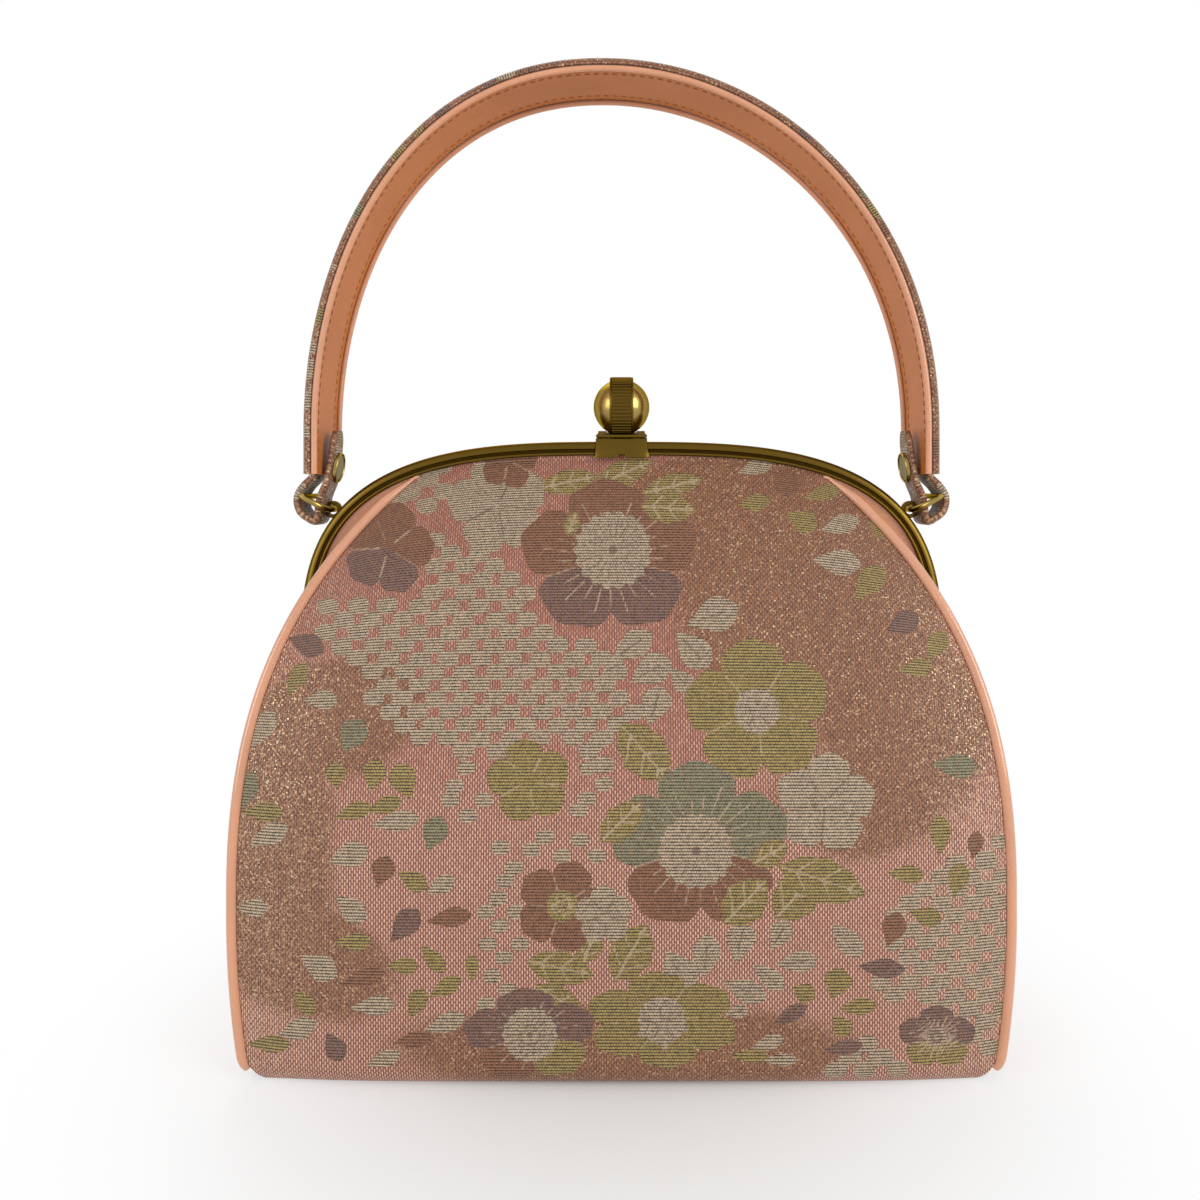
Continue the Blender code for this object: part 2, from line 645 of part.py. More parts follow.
# Clasp


def block(name, corners, material, smooth_degrees=30.0):
    """A closed eight-cornered block: four lower corners, then the four above them."""
    return loft(name, [corners[:4], corners[4:]], material, smooth_degrees=smooth_degrees)


def build_catch(brass):
    """The plate on the front half, which folds over the frame's top: the saddle sits on it."""
    face = FRAME_FACE + GAP
    top = FRAME_TOP + GAP
    rim = top + CATCH_THICKNESS
    front = face + CATCH_THICKNESS
    bottom = top - CATCH_DROP
    narrow, wide = CATCH_HALF_WIDTH, CATCH_HALF_WIDTH + CATCH_SPREAD
    back = GAP + CHANNEL_WALL
    profile = ((front, bottom, wide), (front, rim - CATCH_THICKNESS / 2, narrow),
               (front - CATCH_THICKNESS / 2, rim, narrow), (back, rim, narrow), (back, top, narrow),
               (face, top, narrow), (face, bottom, wide))
    rings = [[Vector((sign * half_width, -depth, height)) for depth, height, half_width in profile]
             for sign in (-1, 1)]
    catch = loft("front_catch", rings, brass, smooth_degrees=25.0)
    notch = turned("catch_notch", ((-CATCH_NOTCH_RADIUS, CATCH_NOTCH_RADIUS),
                                   (CATCH_NOTCH_RADIUS, CATCH_NOTCH_RADIUS)),
                   Vector((0, -front, bottom)), brass, RIVET_SIDES)
    boolean(catch, notch, "DIFFERENCE")


def ball_stations(radius, start, end, steps):
    """Stations of a ball from one distance along X to another."""
    stations = []
    first, last = math.asin(start / radius), math.asin(end / radius)
    for index in range(steps + 1):
        angle = first + (last - first) * index / steps
        stations.append((math.sin(angle) * radius, math.cos(angle) * radius))
    return stations


def build_clasp(brass):
    """Bracket and pin on the rear half; saddle, ball and knurled wheel that flip back."""
    axis_y = FRAME_FACE + BARREL_OFFSET
    floor = FRAME_TOP + GAP + CATCH_THICKNESS + GAP
    axis_z = floor + BARREL_RADIUS
    pivot = Vector((0, axis_y, axis_z))
    hole = CLASP_PIN_RADIUS + GAP

    front = -SADDLE_FRONT_REACH
    back = axis_y - BARREL_RADIUS / 2
    middle_y = FRAME_FACE - BARREL_RADIUS
    share = (middle_y - front) / (back - front)
    middle_height = SADDLE_FRONT_HEIGHT + (SADDLE_BACK_HEIGHT - SADDLE_FRONT_HEIGHT) * share
    outline = ((front, SADDLE_HALF_WIDTH, SADDLE_FRONT_HEIGHT),
               (middle_y, SADDLE_BACK_HALF_WIDTH, middle_height),
               (middle_y, BARREL_HALF_LENGTH, middle_height),
               (back, BARREL_HALF_LENGTH, SADDLE_BACK_HEIGHT))
    lower = [Vector((half, y, floor)) for y, half, _ in outline]
    lower += [Vector((-half, y, floor)) for y, half, _ in reversed(outline)]
    upper = [Vector((half, y, floor + rise)) for y, half, rise in outline]
    upper += [Vector((-half, y, floor + rise)) for y, half, rise in reversed(outline)]
    saddle = loft("clasp_saddle", [lower, upper], brass, smooth_degrees=25.0)
    barrel = turned("barrel", ((-BARREL_HALF_LENGTH, BARREL_RADIUS), (BARREL_HALF_LENGTH, BARREL_RADIUS)),
                    pivot, brass, ROUND_SIDES)
    boolean(saddle, barrel, "UNION")
    centre = Vector((0, 0, FRAME_TOP + BALL_CENTRE_RISE))
    half = WHEEL_HALF_WIDTH + GAP
    wheel_space = turned("wheel_space", ((-half, WHEEL_RADIUS + GAP), (half, WHEEL_RADIUS + GAP)),
                         centre, brass, ROUND_SIDES)
    boolean(saddle, wheel_space, "DIFFERENCE")
    reach = BALL_RADIUS - GAP
    ball_space = turned("ball_space", ball_stations(BALL_RADIUS + GAP, -reach, reach, BALL_STEPS),
                        centre, brass, ROUND_SIDES)
    boolean(saddle, ball_space, "DIFFERENCE")
    pin_space = turned("pin_space", ((-SADDLE_HALF_WIDTH, hole), (SADDLE_HALF_WIDTH, hole)),
                       pivot, brass, RIVET_SIDES)
    boolean(saddle, pin_space, "DIFFERENCE")

    build_bracket(pivot, hole, brass)
    pin_reach = BARREL_HALF_LENGTH + GAP + KNUCKLE_LENGTH
    turned("clasp_pin", ((-pin_reach, CLASP_PIN_RADIUS), (pin_reach, CLASP_PIN_RADIUS)), pivot, brass,
           RIVET_SIDES)

    pole = BALL_RADIUS - BALL_POLE_FLAT
    for side, sign in (("right", 1), ("left", -1)):
        stations = ball_stations(BALL_RADIUS, half, pole, BALL_STEPS)
        stations = [(sign * along, radius) for along, radius in stations]
        turned("knob_ball_" + side, stations, centre, brass)
    build_wheel(centre, brass)


def build_bracket(pivot, hole, brass):
    """The plate on the rear face of the frame, with the two knuckles that hold the pin."""
    face = FRAME_FACE + GAP
    inner = BARREL_HALF_LENGTH + GAP
    outer = inner + KNUCKLE_LENGTH
    bottom = FRAME_TOP - CATCH_DROP
    top = pivot.z - BARREL_RADIUS - GAP
    back = face + CATCH_THICKNESS
    plate = [Vector((x, y, z)) for z in (bottom, top)
             for x, y in ((-outer, face), (outer, face), (outer, back), (-outer, back))]
    bracket = block("clasp_bracket", plate, brass)
    for sign in (-1, 1):
        near, far = sorted((sign * inner, sign * outer))
        knuckle = turned("knuckle", ((near, BARREL_RADIUS), (far, BARREL_RADIUS)), pivot, brass)
        boolean(bracket, knuckle, "UNION")
        web = [Vector((x, y, z)) for z in (top - CATCH_THICKNESS, pivot.z)
               for x, y in ((near, face), (far, face), (far, pivot.y), (near, pivot.y))]
        boolean(bracket, block("web", web, brass), "UNION")
    pin_space = turned("pin_space", ((-outer - OVERRUN, hole), (outer + OVERRUN, hole)), pivot, brass,
                       RIVET_SIDES)
    boolean(bracket, pin_space, "DIFFERENCE")


def build_wheel(centre, brass):
    """The wheel between the ball's halves: a knurled rim between two plain beads."""
    half = WHEEL_HALF_WIDTH
    knurled = half - WHEEL_RIM_WIDTH
    count = KNURL_COUNT + KNURL_COUNT
    low = WHEEL_RADIUS - KNURL_DEPTH
    bead = WHEEL_BEAD_EDGE
    up, back = Vector((0, 0, 1)), Vector((0, 1, 0))

    def ring(along, crest, root):
        points = []
        for index in range(count):
            radius = crest if index % 2 else root
            angle = math.tau * index / count
            points.append(centre + Vector((along, 0, 0)) + back * radius * math.cos(angle)
                          + up * radius * math.sin(angle))
        return points

    rings = [ring(-half, low, low), ring(-half + bead, WHEEL_RADIUS, WHEEL_RADIUS),
             ring(-knurled - bead, WHEEL_RADIUS, WHEEL_RADIUS), ring(-knurled, low, low),
             ring(-knurled + bead, WHEEL_RADIUS, low), ring(knurled - bead, WHEEL_RADIUS, low),
             ring(knurled, low, low), ring(knurled + bead, WHEEL_RADIUS, WHEEL_RADIUS),
             ring(half - bead, WHEEL_RADIUS, WHEEL_RADIUS), ring(half, low, low)]
    loft("knob_wheel", rings, brass, smooth_degrees=30.0)


# Handle


def handle_frame(share, side_sign):
    """A point on the handle's outer face and its outward direction.

    The share runs from 0 at a leg's foot to 1 at the crown; side_sign picks the leg.
    """
    leg_share = LEG_STEPS / HANDLE_STEPS
    if share < leg_share:
        height = HANDLE_LEG_FOOT + LEG_LENGTH * share / leg_share
        return Vector((side_sign * HANDLE_HALF_WIDTH, 0, height)), Vector((side_sign, 0, 0))
    angle = math.pi / 2 * (share - leg_share) / (1 - leg_share)
    power = 2 / HANDLE_EXPONENT
    x = HANDLE_HALF_WIDTH * abs(math.cos(angle)) ** power
    z = HANDLE_SPRING + HANDLE_RISE * math.sin(angle) ** power
    slope_x = (x / HANDLE_HALF_WIDTH) ** (HANDLE_EXPONENT - 1) / HANDLE_HALF_WIDTH
    slope_z = ((z - HANDLE_SPRING) / HANDLE_RISE) ** (HANDLE_EXPONENT - 1) / HANDLE_RISE
    outward = Vector((side_sign * slope_x, 0, slope_z)).normalized()
    return Vector((side_sign * x, 0, z)), outward


def lean(point):
    """The crown's sideways lean at a point's height."""
    share = max(0.0, (point.z - HANDLE_SPRING) / HANDLE_RISE)
    return Vector((-HANDLE_LEAN * share ** HANDLE_LEAN_EXPONENT, 0, 0))


def handle_stations():
    """Points and outward directions along the whole handle, from the left leg to the right."""
    stations = [handle_frame(index / HANDLE_STEPS, -1) for index in range(HANDLE_STEPS)]
    stations.append(handle_frame(1.0, 1))
    stations += [handle_frame(index / HANDLE_STEPS, 1) for index in reversed(range(HANDLE_STEPS))]
    return [(point + lean(point), outward) for point, outward in stations]


def swept_section(name, section, material, smooth_degrees=40.0):
    """A strip with this section, as (distance across, depth below the outer face)."""
    rings = []
    for point, outward in handle_stations():
        ring = [point - outward * below + Vector((0, HANDLE_Y + across, 0)) for across, below in section]
        rings.append(ring)
    return loft(name, rings, material, smooth_degrees=smooth_degrees)


def build_handle(brocade, vinyl):
    """The brocade strap, its glossy vinyl inner face and the piping on both edges."""
    half = STRAP_WIDTH / 2
    edge = half - STRAP_EDGE_DROP / 2
    flat = half - STRAP_EDGE_DROP - STRAP_EDGE_DROP
    section = ((-half, STRAP_THICKNESS), (-half, STRAP_THICKNESS / 2), (-edge, STRAP_EDGE_DROP / 2),
               (-flat, STRAP_SHOULDER_DROP), (0, 0), (flat, STRAP_SHOULDER_DROP),
               (edge, STRAP_EDGE_DROP / 2), (half, STRAP_THICKNESS / 2), (half, STRAP_THICKNESS))
    swept_section("handle_strap", section, brocade)
    lining_half = half - LINING_MARGIN
    top = STRAP_THICKNESS + GAP
    bottom = top + LINING_THICKNESS
    swept_section("handle_lining", ((-lining_half, top), (-lining_half, bottom), (lining_half, bottom),
                                    (lining_half, top)), vinyl)
    piping_y = half - HANDLE_PIPING_RADIUS
    sides = HANDLE_PIPING_SIDES
    for name, sign in (("handle_piping_front", -1), ("handle_piping_rear", 1)):
        section = []
        for index in range(sides):
            angle = math.tau * (index + 0.5) / sides
            across = sign * piping_y + HANDLE_PIPING_RADIUS * math.cos(angle)
            section.append((across, top + HANDLE_PIPING_RADIUS + HANDLE_PIPING_RADIUS * math.sin(angle)))
        swept_section(name, section, vinyl)


def build_lug(name, side_sign, brass):
    """A small eye plate that stands on the rear half of the frame."""
    eye, outward = lug_eye(side_sign)
    along = Vector((outward.z, 0, -outward.x))
    half = LUG_THICKNESS / 2
    across = Vector((0, half, 0))
    rings = []
    for shift in (-across, across):
        rings.append(circle_ring(eye + shift, along, outward, LUG_RADIUS, ROUND_SIDES))
    lug = loft(name, rings, brass, smooth_degrees=30.0)
    foot_half = Vector((0, min(LUG_THICKNESS, CHANNEL_WIDTH / 2), 0))
    low = eye - outward * LUG_RADIUS
    high = low + outward * LUG_FOOT_THICKNESS
    reach = along * (LUG_FOOT_LENGTH / 2)
    corners = [level + step + width for level in (low, high)
               for step, width in ((-reach, -foot_half), (reach, -foot_half), (reach, foot_half),
                                   (-reach, foot_half))]
    boolean(lug, block("lug_foot", corners, brass), "UNION")
    far = Vector((0, half + OVERRUN, 0))
    hole_rings = [circle_ring(eye + shift, along, outward, LUG_HOLE_RADIUS, ROUND_SIDES)
                  for shift in (-far, far)]
    boolean(lug, loft("eye_hole", hole_rings, brass), "DIFFERENCE")


def ring_axes(side_sign):
    """The ring's direction from the eye up and out to the strap."""
    angle = math.radians(RING_RISE_DEGREES)
    return Vector((side_sign * math.cos(angle), 0, math.sin(angle)))


def build_ring(name, side_sign, brass):
    """A rounded D-shaped ring: its bow runs through the eye, its bar inside the tab's loop."""
    eye = lug_eye(side_sign)[0]
    out = ring_axes(side_sign)
    path = []
    power = 2 / RING_EXPONENT
    for index in range(RING_STEPS + 1):
        angle = math.pi * index / RING_STEPS - math.pi / 2
        across = math.copysign(abs(math.sin(angle)) ** power, angle) * RING_HALF_WIDTH
        away = RING_DEPTH * (1 - math.cos(angle) ** power)
        path.append(eye + out * away + Vector((0, across, 0)))
    for index in range(1, RING_BAR_STEPS):
        across = RING_HALF_WIDTH * (1 - 2 * index / RING_BAR_STEPS)
        path.append(eye + out * RING_DEPTH + Vector((0, across, 0)))
    normal = out.cross(Vector((0, 1, 0))).normalized()
    tube(name, path, normal, RING_WIRE_RADIUS, brass, closed=True)


def smooth_path(points, steps):
    """A smooth curve through the points, by the Catmull-Rom rule."""
    path = []
    last = len(points) - 1
    for index in range(last):
        before = points[max(index - 1, 0)]
        start, end = points[index], points[index + 1]
        after = points[min(index + 2, last)]
        for step in range(steps):
            share = step / steps
            bend = (start + start + (end - before) * share
                    + (before + before - start * 5 + end * 4 - after) * share ** 2
                    + (start * 3 - end * 3 + after - before) * share ** 3)
            path.append(bend / 2)
    path.append(points[last])
    return path


def tab_path(side_sign):
    """The middle line of a tab, from the strap's end round the ring and up the inside."""
    start_x = HANDLE_HALF_WIDTH - TAB_START_THICKNESS / 2
    start_z = HANDLE_LEG_FOOT - GAP
    points = []
    for across_share, down_share in TAB_PATH_SHARES:
        x = start_x + across_share * (TAB_REACH if across_share > 0 else TAB_INSET)
        z = start_z - down_share * (TAB_DROP if down_share > 0 else TAB_RISE)
        points.append(Vector((side_sign * x, HANDLE_Y, z)))
    return smooth_path(points, TAB_STEPS)


def tab_normals(path):
    """The direction across the tab's thickness at each point of its middle line."""
    normals = []
    for index in range(len(path)):
        along = path[min(index + 1, len(path) - 1)] - path[max(index - 1, 0)]
        normals.append(Vector((-along.z, 0, along.x)).normalized())
    return normals


def build_tab(side, side_sign, brocade, brass):
    """The brocade loop that holds a ring, and the rivet that closes it."""
    path = tab_path(side_sign)
    normals = tab_normals(path)
    steps = len(path) - 1
    rings = []
    for index, (point, normal) in enumerate(zip(path, normals)):
        share = index / steps
        fold = max(0.0, 1 - TAB_THINNING * share)
        thickness = TAB_THICKNESS + (TAB_START_THICKNESS - TAB_THICKNESS) * fold
        width = TAB_HALF_WIDTH
        if share > TAB_TIP_SHARE:
            taper = (share - TAB_TIP_SHARE) / (1 - TAB_TIP_SHARE)
            width -= (TAB_HALF_WIDTH - TAB_TIP_HALF_WIDTH) * taper ** 2
        offset = normal * (thickness / 2)
        soft = thickness * TAB_SOFT_SHARE
        rings.append([
            point + offset + Vector((0, -width + soft, 0)), point + offset + Vector((0, width - soft, 0)),
            point + offset / 2 + Vector((0, width, 0)), point - offset / 2 + Vector((0, width, 0)),
            point - offset + Vector((0, width - soft, 0)), point - offset + Vector((0, -width + soft, 0)),
            point - offset / 2 + Vector((0, -width, 0)), point + offset / 2 + Vector((0, -width, 0))])
    loft("tab_" + side, rings, brocade)

    index = round(TAB_RIVET_SHARE * steps)
    inward = normals[index]
    if inward.x * side_sign > 0:
        inward = -inward
    upward = Vector((inward.z, 0, -inward.x))
    seat = path[index] + inward * (TAB_THICKNESS / 2 + GAP)
    stations = ((0, TAB_RIVET_RADIUS), (TAB_RIVET_THICKNESS - TAB_RIVET_DOME, TAB_RIVET_RADIUS),
                (TAB_RIVET_THICKNESS, TAB_RIVET_RADIUS - TAB_RIVET_DOME - TAB_RIVET_DOME))
    across = Vector((0, 1, 0))
    rings = [circle_ring(seat + inward * along, across, upward, radius, RIVET_SIDES + RIVET_SIDES)
             for along, radius in stations]
    loft("tab_rivet_" + side, rings, brass)


def build_hangers(brocade, brass):
    """Lugs on the frame, the rings through them and the tabs round the rings."""
    for side, side_sign in (("right", 1), ("left", -1)):
        build_lug("ring_lug_" + side, side_sign, brass)
        build_ring("ring_" + side, side_sign, brass)
        build_tab(side, side_sign, brocade, brass)


def main():
    """Build the whole bag."""
    clear_scene()
    brocade = make_material("brocade", (0.62, 0.42, 0.34), 0.55)
    vinyl = make_material("peach_vinyl", (0.82, 0.36, 0.19), 0.25)
    board = make_material("board", (0.45, 0.38, 0.30), 0.8)
    brass = make_material("antique_brass", (0.62, 0.50, 0.24), 0.3, 1.0)
    build_panels(brocade)
    build_boards(board, brocade)
    build_vinyl(vinyl)
    build_frame(brass)
    build_catch(brass)
    build_clasp(brass)
    build_handle(brocade, vinyl)
    build_hangers(brocade, brass)


main()
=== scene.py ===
"""Kimono handbag: the finished look of the brocade bag around its packed frame."""

import math

import bmesh
import bpy
import numpy as np
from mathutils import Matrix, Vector


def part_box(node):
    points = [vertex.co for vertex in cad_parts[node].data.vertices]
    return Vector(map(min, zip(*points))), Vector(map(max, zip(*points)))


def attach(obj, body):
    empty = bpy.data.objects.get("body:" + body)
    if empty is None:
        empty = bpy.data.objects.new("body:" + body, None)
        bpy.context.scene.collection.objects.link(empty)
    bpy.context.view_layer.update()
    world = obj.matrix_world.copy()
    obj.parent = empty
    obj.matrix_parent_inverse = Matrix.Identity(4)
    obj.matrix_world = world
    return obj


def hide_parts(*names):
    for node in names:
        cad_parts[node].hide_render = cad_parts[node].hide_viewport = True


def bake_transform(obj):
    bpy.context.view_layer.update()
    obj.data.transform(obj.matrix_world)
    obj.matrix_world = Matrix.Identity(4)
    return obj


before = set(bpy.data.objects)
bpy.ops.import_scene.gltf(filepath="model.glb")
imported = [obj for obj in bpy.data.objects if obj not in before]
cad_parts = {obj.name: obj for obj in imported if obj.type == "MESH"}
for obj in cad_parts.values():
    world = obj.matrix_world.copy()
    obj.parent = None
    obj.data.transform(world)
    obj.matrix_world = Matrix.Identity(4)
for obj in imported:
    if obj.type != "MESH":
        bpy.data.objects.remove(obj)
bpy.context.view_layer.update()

bl_info = {
    "name": "Kimono handbag",
    "version": (1, 0, 0),
    "blender": (4, 5, 0),
    "location": "View3D > Sidebar > Handbag",
    "description": "Brocade handbag with a brass mouth frame, a flip clasp and a strap handle",
    "category": "Object",
}

MM = 0.001
FULL_TURN = math.tau
QUARTER_TURN = math.pi / 2


def colour(red, green, blue):
    """A display colour, each part from 0 to 255, as the linear colour the shaders use."""
    return tuple((part / 255) ** 2.2 for part in (red, green, blue))


# Sizes and colours that a user may change


def length(name, description, default):
    """A length property in metres."""
    return bpy.props.FloatProperty(name=name, description=description, default=default, unit="LENGTH",
                                   precision=5)


def factor(name, description, default):
    """A plain number property."""
    return bpy.props.FloatProperty(name=name, description=description, default=default)


def tint(name, description, default):
    """A colour property."""
    return bpy.props.FloatVectorProperty(name=name, description=description, default=default,
                                         subtype="COLOR", size=3, min=0.0, max=1.0)


class BagBodySizes(bpy.types.PropertyGroup):
    """The brocade body."""
    half_width: length("Half width", "Half the body's width at its widest", 0.1172)
    widest_height: length("Widest height", "Height of the widest point", 0.050)
    foot_taper: length("Foot taper", "How much narrower each side is at the base", 0.0044)
    corner_radius: length("Corner radius", "Radius of the body's lower corners", 0.007)
    half_depth: length("Half depth", "Half the body's depth at the base", 0.046)
    straight_height: length("Straight height", "Below this the front stands upright", 0.060)
    base_radius: length("Base radius", "Radius where the cloth turns under", 0.008)
    edge_roll: length("Edge roll", "How far the front's side edges curl back", 0.006)
    top_half_width: length("Top half width", "Half the stretch that the frame grips", 0.0625)
    cloth_thickness: length("Cloth thickness", "Brocade with its backing", 0.0010)
    shoulder_exponent: factor("Shoulder", "How late the sides turn in to the frame", 3.0)
    lean_exponent: factor("Lean", "How late the front leans back to the mouth", 1.8)


class BagFrameSizes(bpy.types.PropertyGroup):
    """The brass mouth frame."""
    half_width: length("Half width", "Half the arch's width", 0.109)
    foot: length("Foot", "Height of the arch's spring line", 0.120)
    rise: length("Rise", "Height of the arch above its foot", 0.0768)
    exponent: factor("Squareness", "How square the arch's shoulders are", 3.1)
    channel_depth: length("Channel depth", "How far a channel reaches in from the arch", 0.0047)
    channel_width: length("Channel width", "One half, front to back", 0.0063)
    channel_end: length("Channel end", "Height where the channels stop", 0.131)
    hinge_height: length("Hinge height", "Height of the two hinge rivets", 0.125)
    gap: length("Gap", "Clearance between pieces", 0.0003)


class BagClaspSizes(bpy.types.PropertyGroup):
    """The clasp on top of the frame."""
    ball_radius: length("Ball radius", "Radius of the two half balls", 0.0096)
    ball_rise: length("Ball rise", "Ball's centre above the frame", 0.0120)
    wheel_radius: length("Wheel radius", "Radius of the knurled wheel", 0.0103)
    wheel_half_width: length("Wheel half width", "Half the wheel's width", 0.0040)
    knurl_count: bpy.props.IntProperty(name="Knurl ridges", description="Ridges round the wheel",
                                       default=52, min=12, max=90)


class BagHandleSizes(bpy.types.PropertyGroup):
    """The strap handle."""
    half_width: length("Half width", "Half the handle's width at its legs", 0.1071)
    top: length("Top", "Height of the crown's outer face", 0.32557)
    spring: length("Spring", "Height where the legs begin to curve", 0.19997)
    foot: length("Foot", "Height where the strap ends", 0.18577)
    exponent: factor("Roundness", "How round the crown is", 2.08)
    lean: length("Lean", "How far the crown leans to one side", 0.0068)
    lean_exponent: factor("Lean's start", "How late the lean begins", 2.5)
    width: length("Strap width", "Front to back", 0.032)
    thickness: length("Strap thickness", "Brocade with its core", 0.0036)
    piping_radius: length("Piping radius", "Piping along both edges", 0.0010)
    stitch_pitch: length("Stitch pitch", "One stitch to the next", 0.0031)


class BagColours(bpy.types.PropertyGroup):
    """Thread, vinyl, metal and lining colours."""
    ground: tint("Ground", "The brocade's salmon ground", colour(168, 104, 84))
    shade: tint("Shade", "Ground between the threads", colour(80, 44, 34))
    dash: tint("Dashes", "Pale threads over the ground", colour(234, 198, 176))
    gold: tint("Gold haze", "Metal threads in the haze", colour(152, 108, 72))
    glint: tint("Glint", "Single metal threads that catch the light", colour(226, 200, 160))
    cream: tint("Cream", "White flowers and tied dots", colour(190, 166, 138))
    olive: tint("Olive", "Gold green leaves", colour(164, 140, 84))
    sage: tint("Sage", "Grey green petals", colour(140, 136, 106))
    mauve: tint("Mauve", "Mauve petals", colour(130, 98, 88))
    rose: tint("Rose", "Brown rose petals", colour(144, 98, 74))
    vinyl: tint("Vinyl", "Glossy peach vinyl", colour(214, 152, 118))
    # Painted shade: the strap's inner face is a browner vinyl than the body's, and is darkened further for
    # the shade under the strap.
    strap_vinyl: tint("Strap vinyl", "The strap's inner face", colour(188, 108, 42))
    # Painted shade: this antique brass is set far darker than the bright metal, as a painted reflection of
    # the dark surroundings that the frame and small parts reflect.
    brass: tint("Brass", "Antique gold frame", colour(98, 78, 34))
    bright: tint("Bright metal", "The clasp's and the rings' worn gold", colour(162, 138, 80))
    lining: tint("Lining", "Satin lining", colour(196, 138, 108))
    nickel: tint("Nickel", "The tabs' rivets", colour(150, 146, 128))
    thread: tint("Thread", "The strap's stitches", colour(150, 88, 54))


def body_sizes():
    """The body's sizes in the current scene."""
    return bpy.context.scene.handbag_body


def frame_sizes():
    """The frame's sizes in the current scene."""
    return bpy.context.scene.handbag_frame


def clasp_sizes():
    """The clasp's sizes in the current scene."""
    return bpy.context.scene.handbag_clasp


def handle_sizes():
    """The handle's sizes in the current scene."""
    return bpy.context.scene.handbag_handle


def colours():
    """The colours in the current scene."""
    return bpy.context.scene.handbag_colours


# Shader sums


class Value:
    """A shader value: sums written with it add their own nodes."""

    def __init__(self, socket):
        self.socket = socket

    def math(self, operation, *others):
        """A maths node with this value first."""
        node = self.socket.id_data.nodes.new("ShaderNodeMath")
        node.operation = operation
        for entry, part in zip(node.inputs, (self, *others)):
            join(entry, part)
        return Value(node.outputs[0])

    def __add__(self, other):
        return self.math("ADD", other)

    def __sub__(self, other):
        return self.math("SUBTRACT", other)

    def __mul__(self, other):
        return self.math("MULTIPLY", other)

    def __truediv__(self, other):
        return self.math("DIVIDE", other)

    def __rsub__(self, other):
        return (self * -1.0) + other

    __radd__ = __add__
    __rmul__ = __mul__

    def fraction(self):
        return self.math("FRACT")

    def floor(self):
        return self.math("FLOOR")

    def size(self):
        return self.math("ABSOLUTE")

    def from_middle(self):
        """How far this is from the middle of its unit step, from 0 to 0.5."""
        return (self.fraction() - 0.5).size()

    def larger(self, other):
        return self.math("MAXIMUM", other)


def join(entry, part):
    """Link a value into a socket, or set the socket's own number or colour."""
    if isinstance(part, Value):
        entry.id_data.links.new(part.socket, entry)
    elif part is not None:
        entry.default_value = (*part, 1.0) if entry.type == "RGBA" and len(part) == 3 else part


class NodeMaker:
    """Whatever has a node tree to add to."""

    def node(self, kind, sockets=None, settings=None, output=0):
        """One node with the values or links of its sockets, and its settings."""
        node = self.tree.nodes.new(kind)
        for key, setting in (settings or {}).items():
            setattr(node, key, setting)
        for key, part in (sockets or {}).items():
            join(node.inputs[key], part)
        return Value(node.outputs[output])


class Finish(NodeMaker):
    """A material under construction."""

    def __init__(self, name):
        self.material = bpy.data.materials.new(name)
        self.material.use_nodes = True
        self.tree = self.material.node_tree
        self.shader = self.tree.nodes["Principled BSDF"]
        self.places = self.tree.nodes.new("ShaderNodeTexCoord")

    def object_place(self):
        """Object coordinates, in metres."""
        return Value(self.places.outputs["Object"])

    def cloth_place(self):
        """The piece's own map, in millimetres: across and along the cloth."""
        parts = self.node("ShaderNodeSeparateXYZ", {0: Value(self.places.outputs["UV"])})
        return parts, Value(parts.socket.node.outputs[1])

    def attribute(self, name):
        """A number kept on the mesh."""
        return self.node("ShaderNodeAttribute", settings={"attribute_name": name}, output=2)

    def chance(self, column, row):
        """A number drawn for each cell of a grid, from its whole column and row."""
        cell = self.node("ShaderNodeCombineXYZ", {0: column, 1: row})
        return self.node("ShaderNodeTexWhiteNoise", {"Vector": cell}, {"noise_dimensions": "2D"})

    def step(self, part, low, high):
        """A smooth step from 0 at low to 1 at high."""
        return self.node("ShaderNodeMapRange", {"Value": part, "From Min": low, "From Max": high},
                         {"interpolation_type": "SMOOTHSTEP"})

    def mix(self, share, first, second, blend="MIX"):
        """A colour between two colours."""
        node = self.tree.nodes.new("ShaderNodeMix")
        node.data_type = "RGBA"
        node.blend_type = blend
        for key, part in ((0, share), (6, first), (7, second)):
            join(node.inputs[key], part)
        return Value(node.outputs[2])

    def noise(self, scale, detail, place=None):
        """A noise texture on object coordinates, or another place."""
        return self.node("ShaderNodeTexNoise",
                         {"Vector": place or self.object_place(), "Scale": scale, "Detail": detail})

    def bump(self, height, distance, strength):
        """A bump for a height from 0 to 1 that stands for a distance in metres."""
        return self.node("ShaderNodeBump",
                         {"Height": height, "Distance": distance, "Strength": strength})

    def done(self, **sockets):
        """Set the shader's sockets and return the material."""
        for key, part in sockets.items():
            join(self.shader.inputs[key.replace("_", " ")], part)
        return self.material


# Materials

THREAD_LAYERS = ("cream", "olive", "sage", "mauve", "rose")
# Pitches of the weave, in millimetres; a dash's pitch is across and along the cloth
DASH_PITCH = (0.75, 1.8)
FLECK_SIZE = 0.42
WEFT_PITCH = 0.92
WARP_PITCH = 0.8
SATIN_PITCH = 0.35


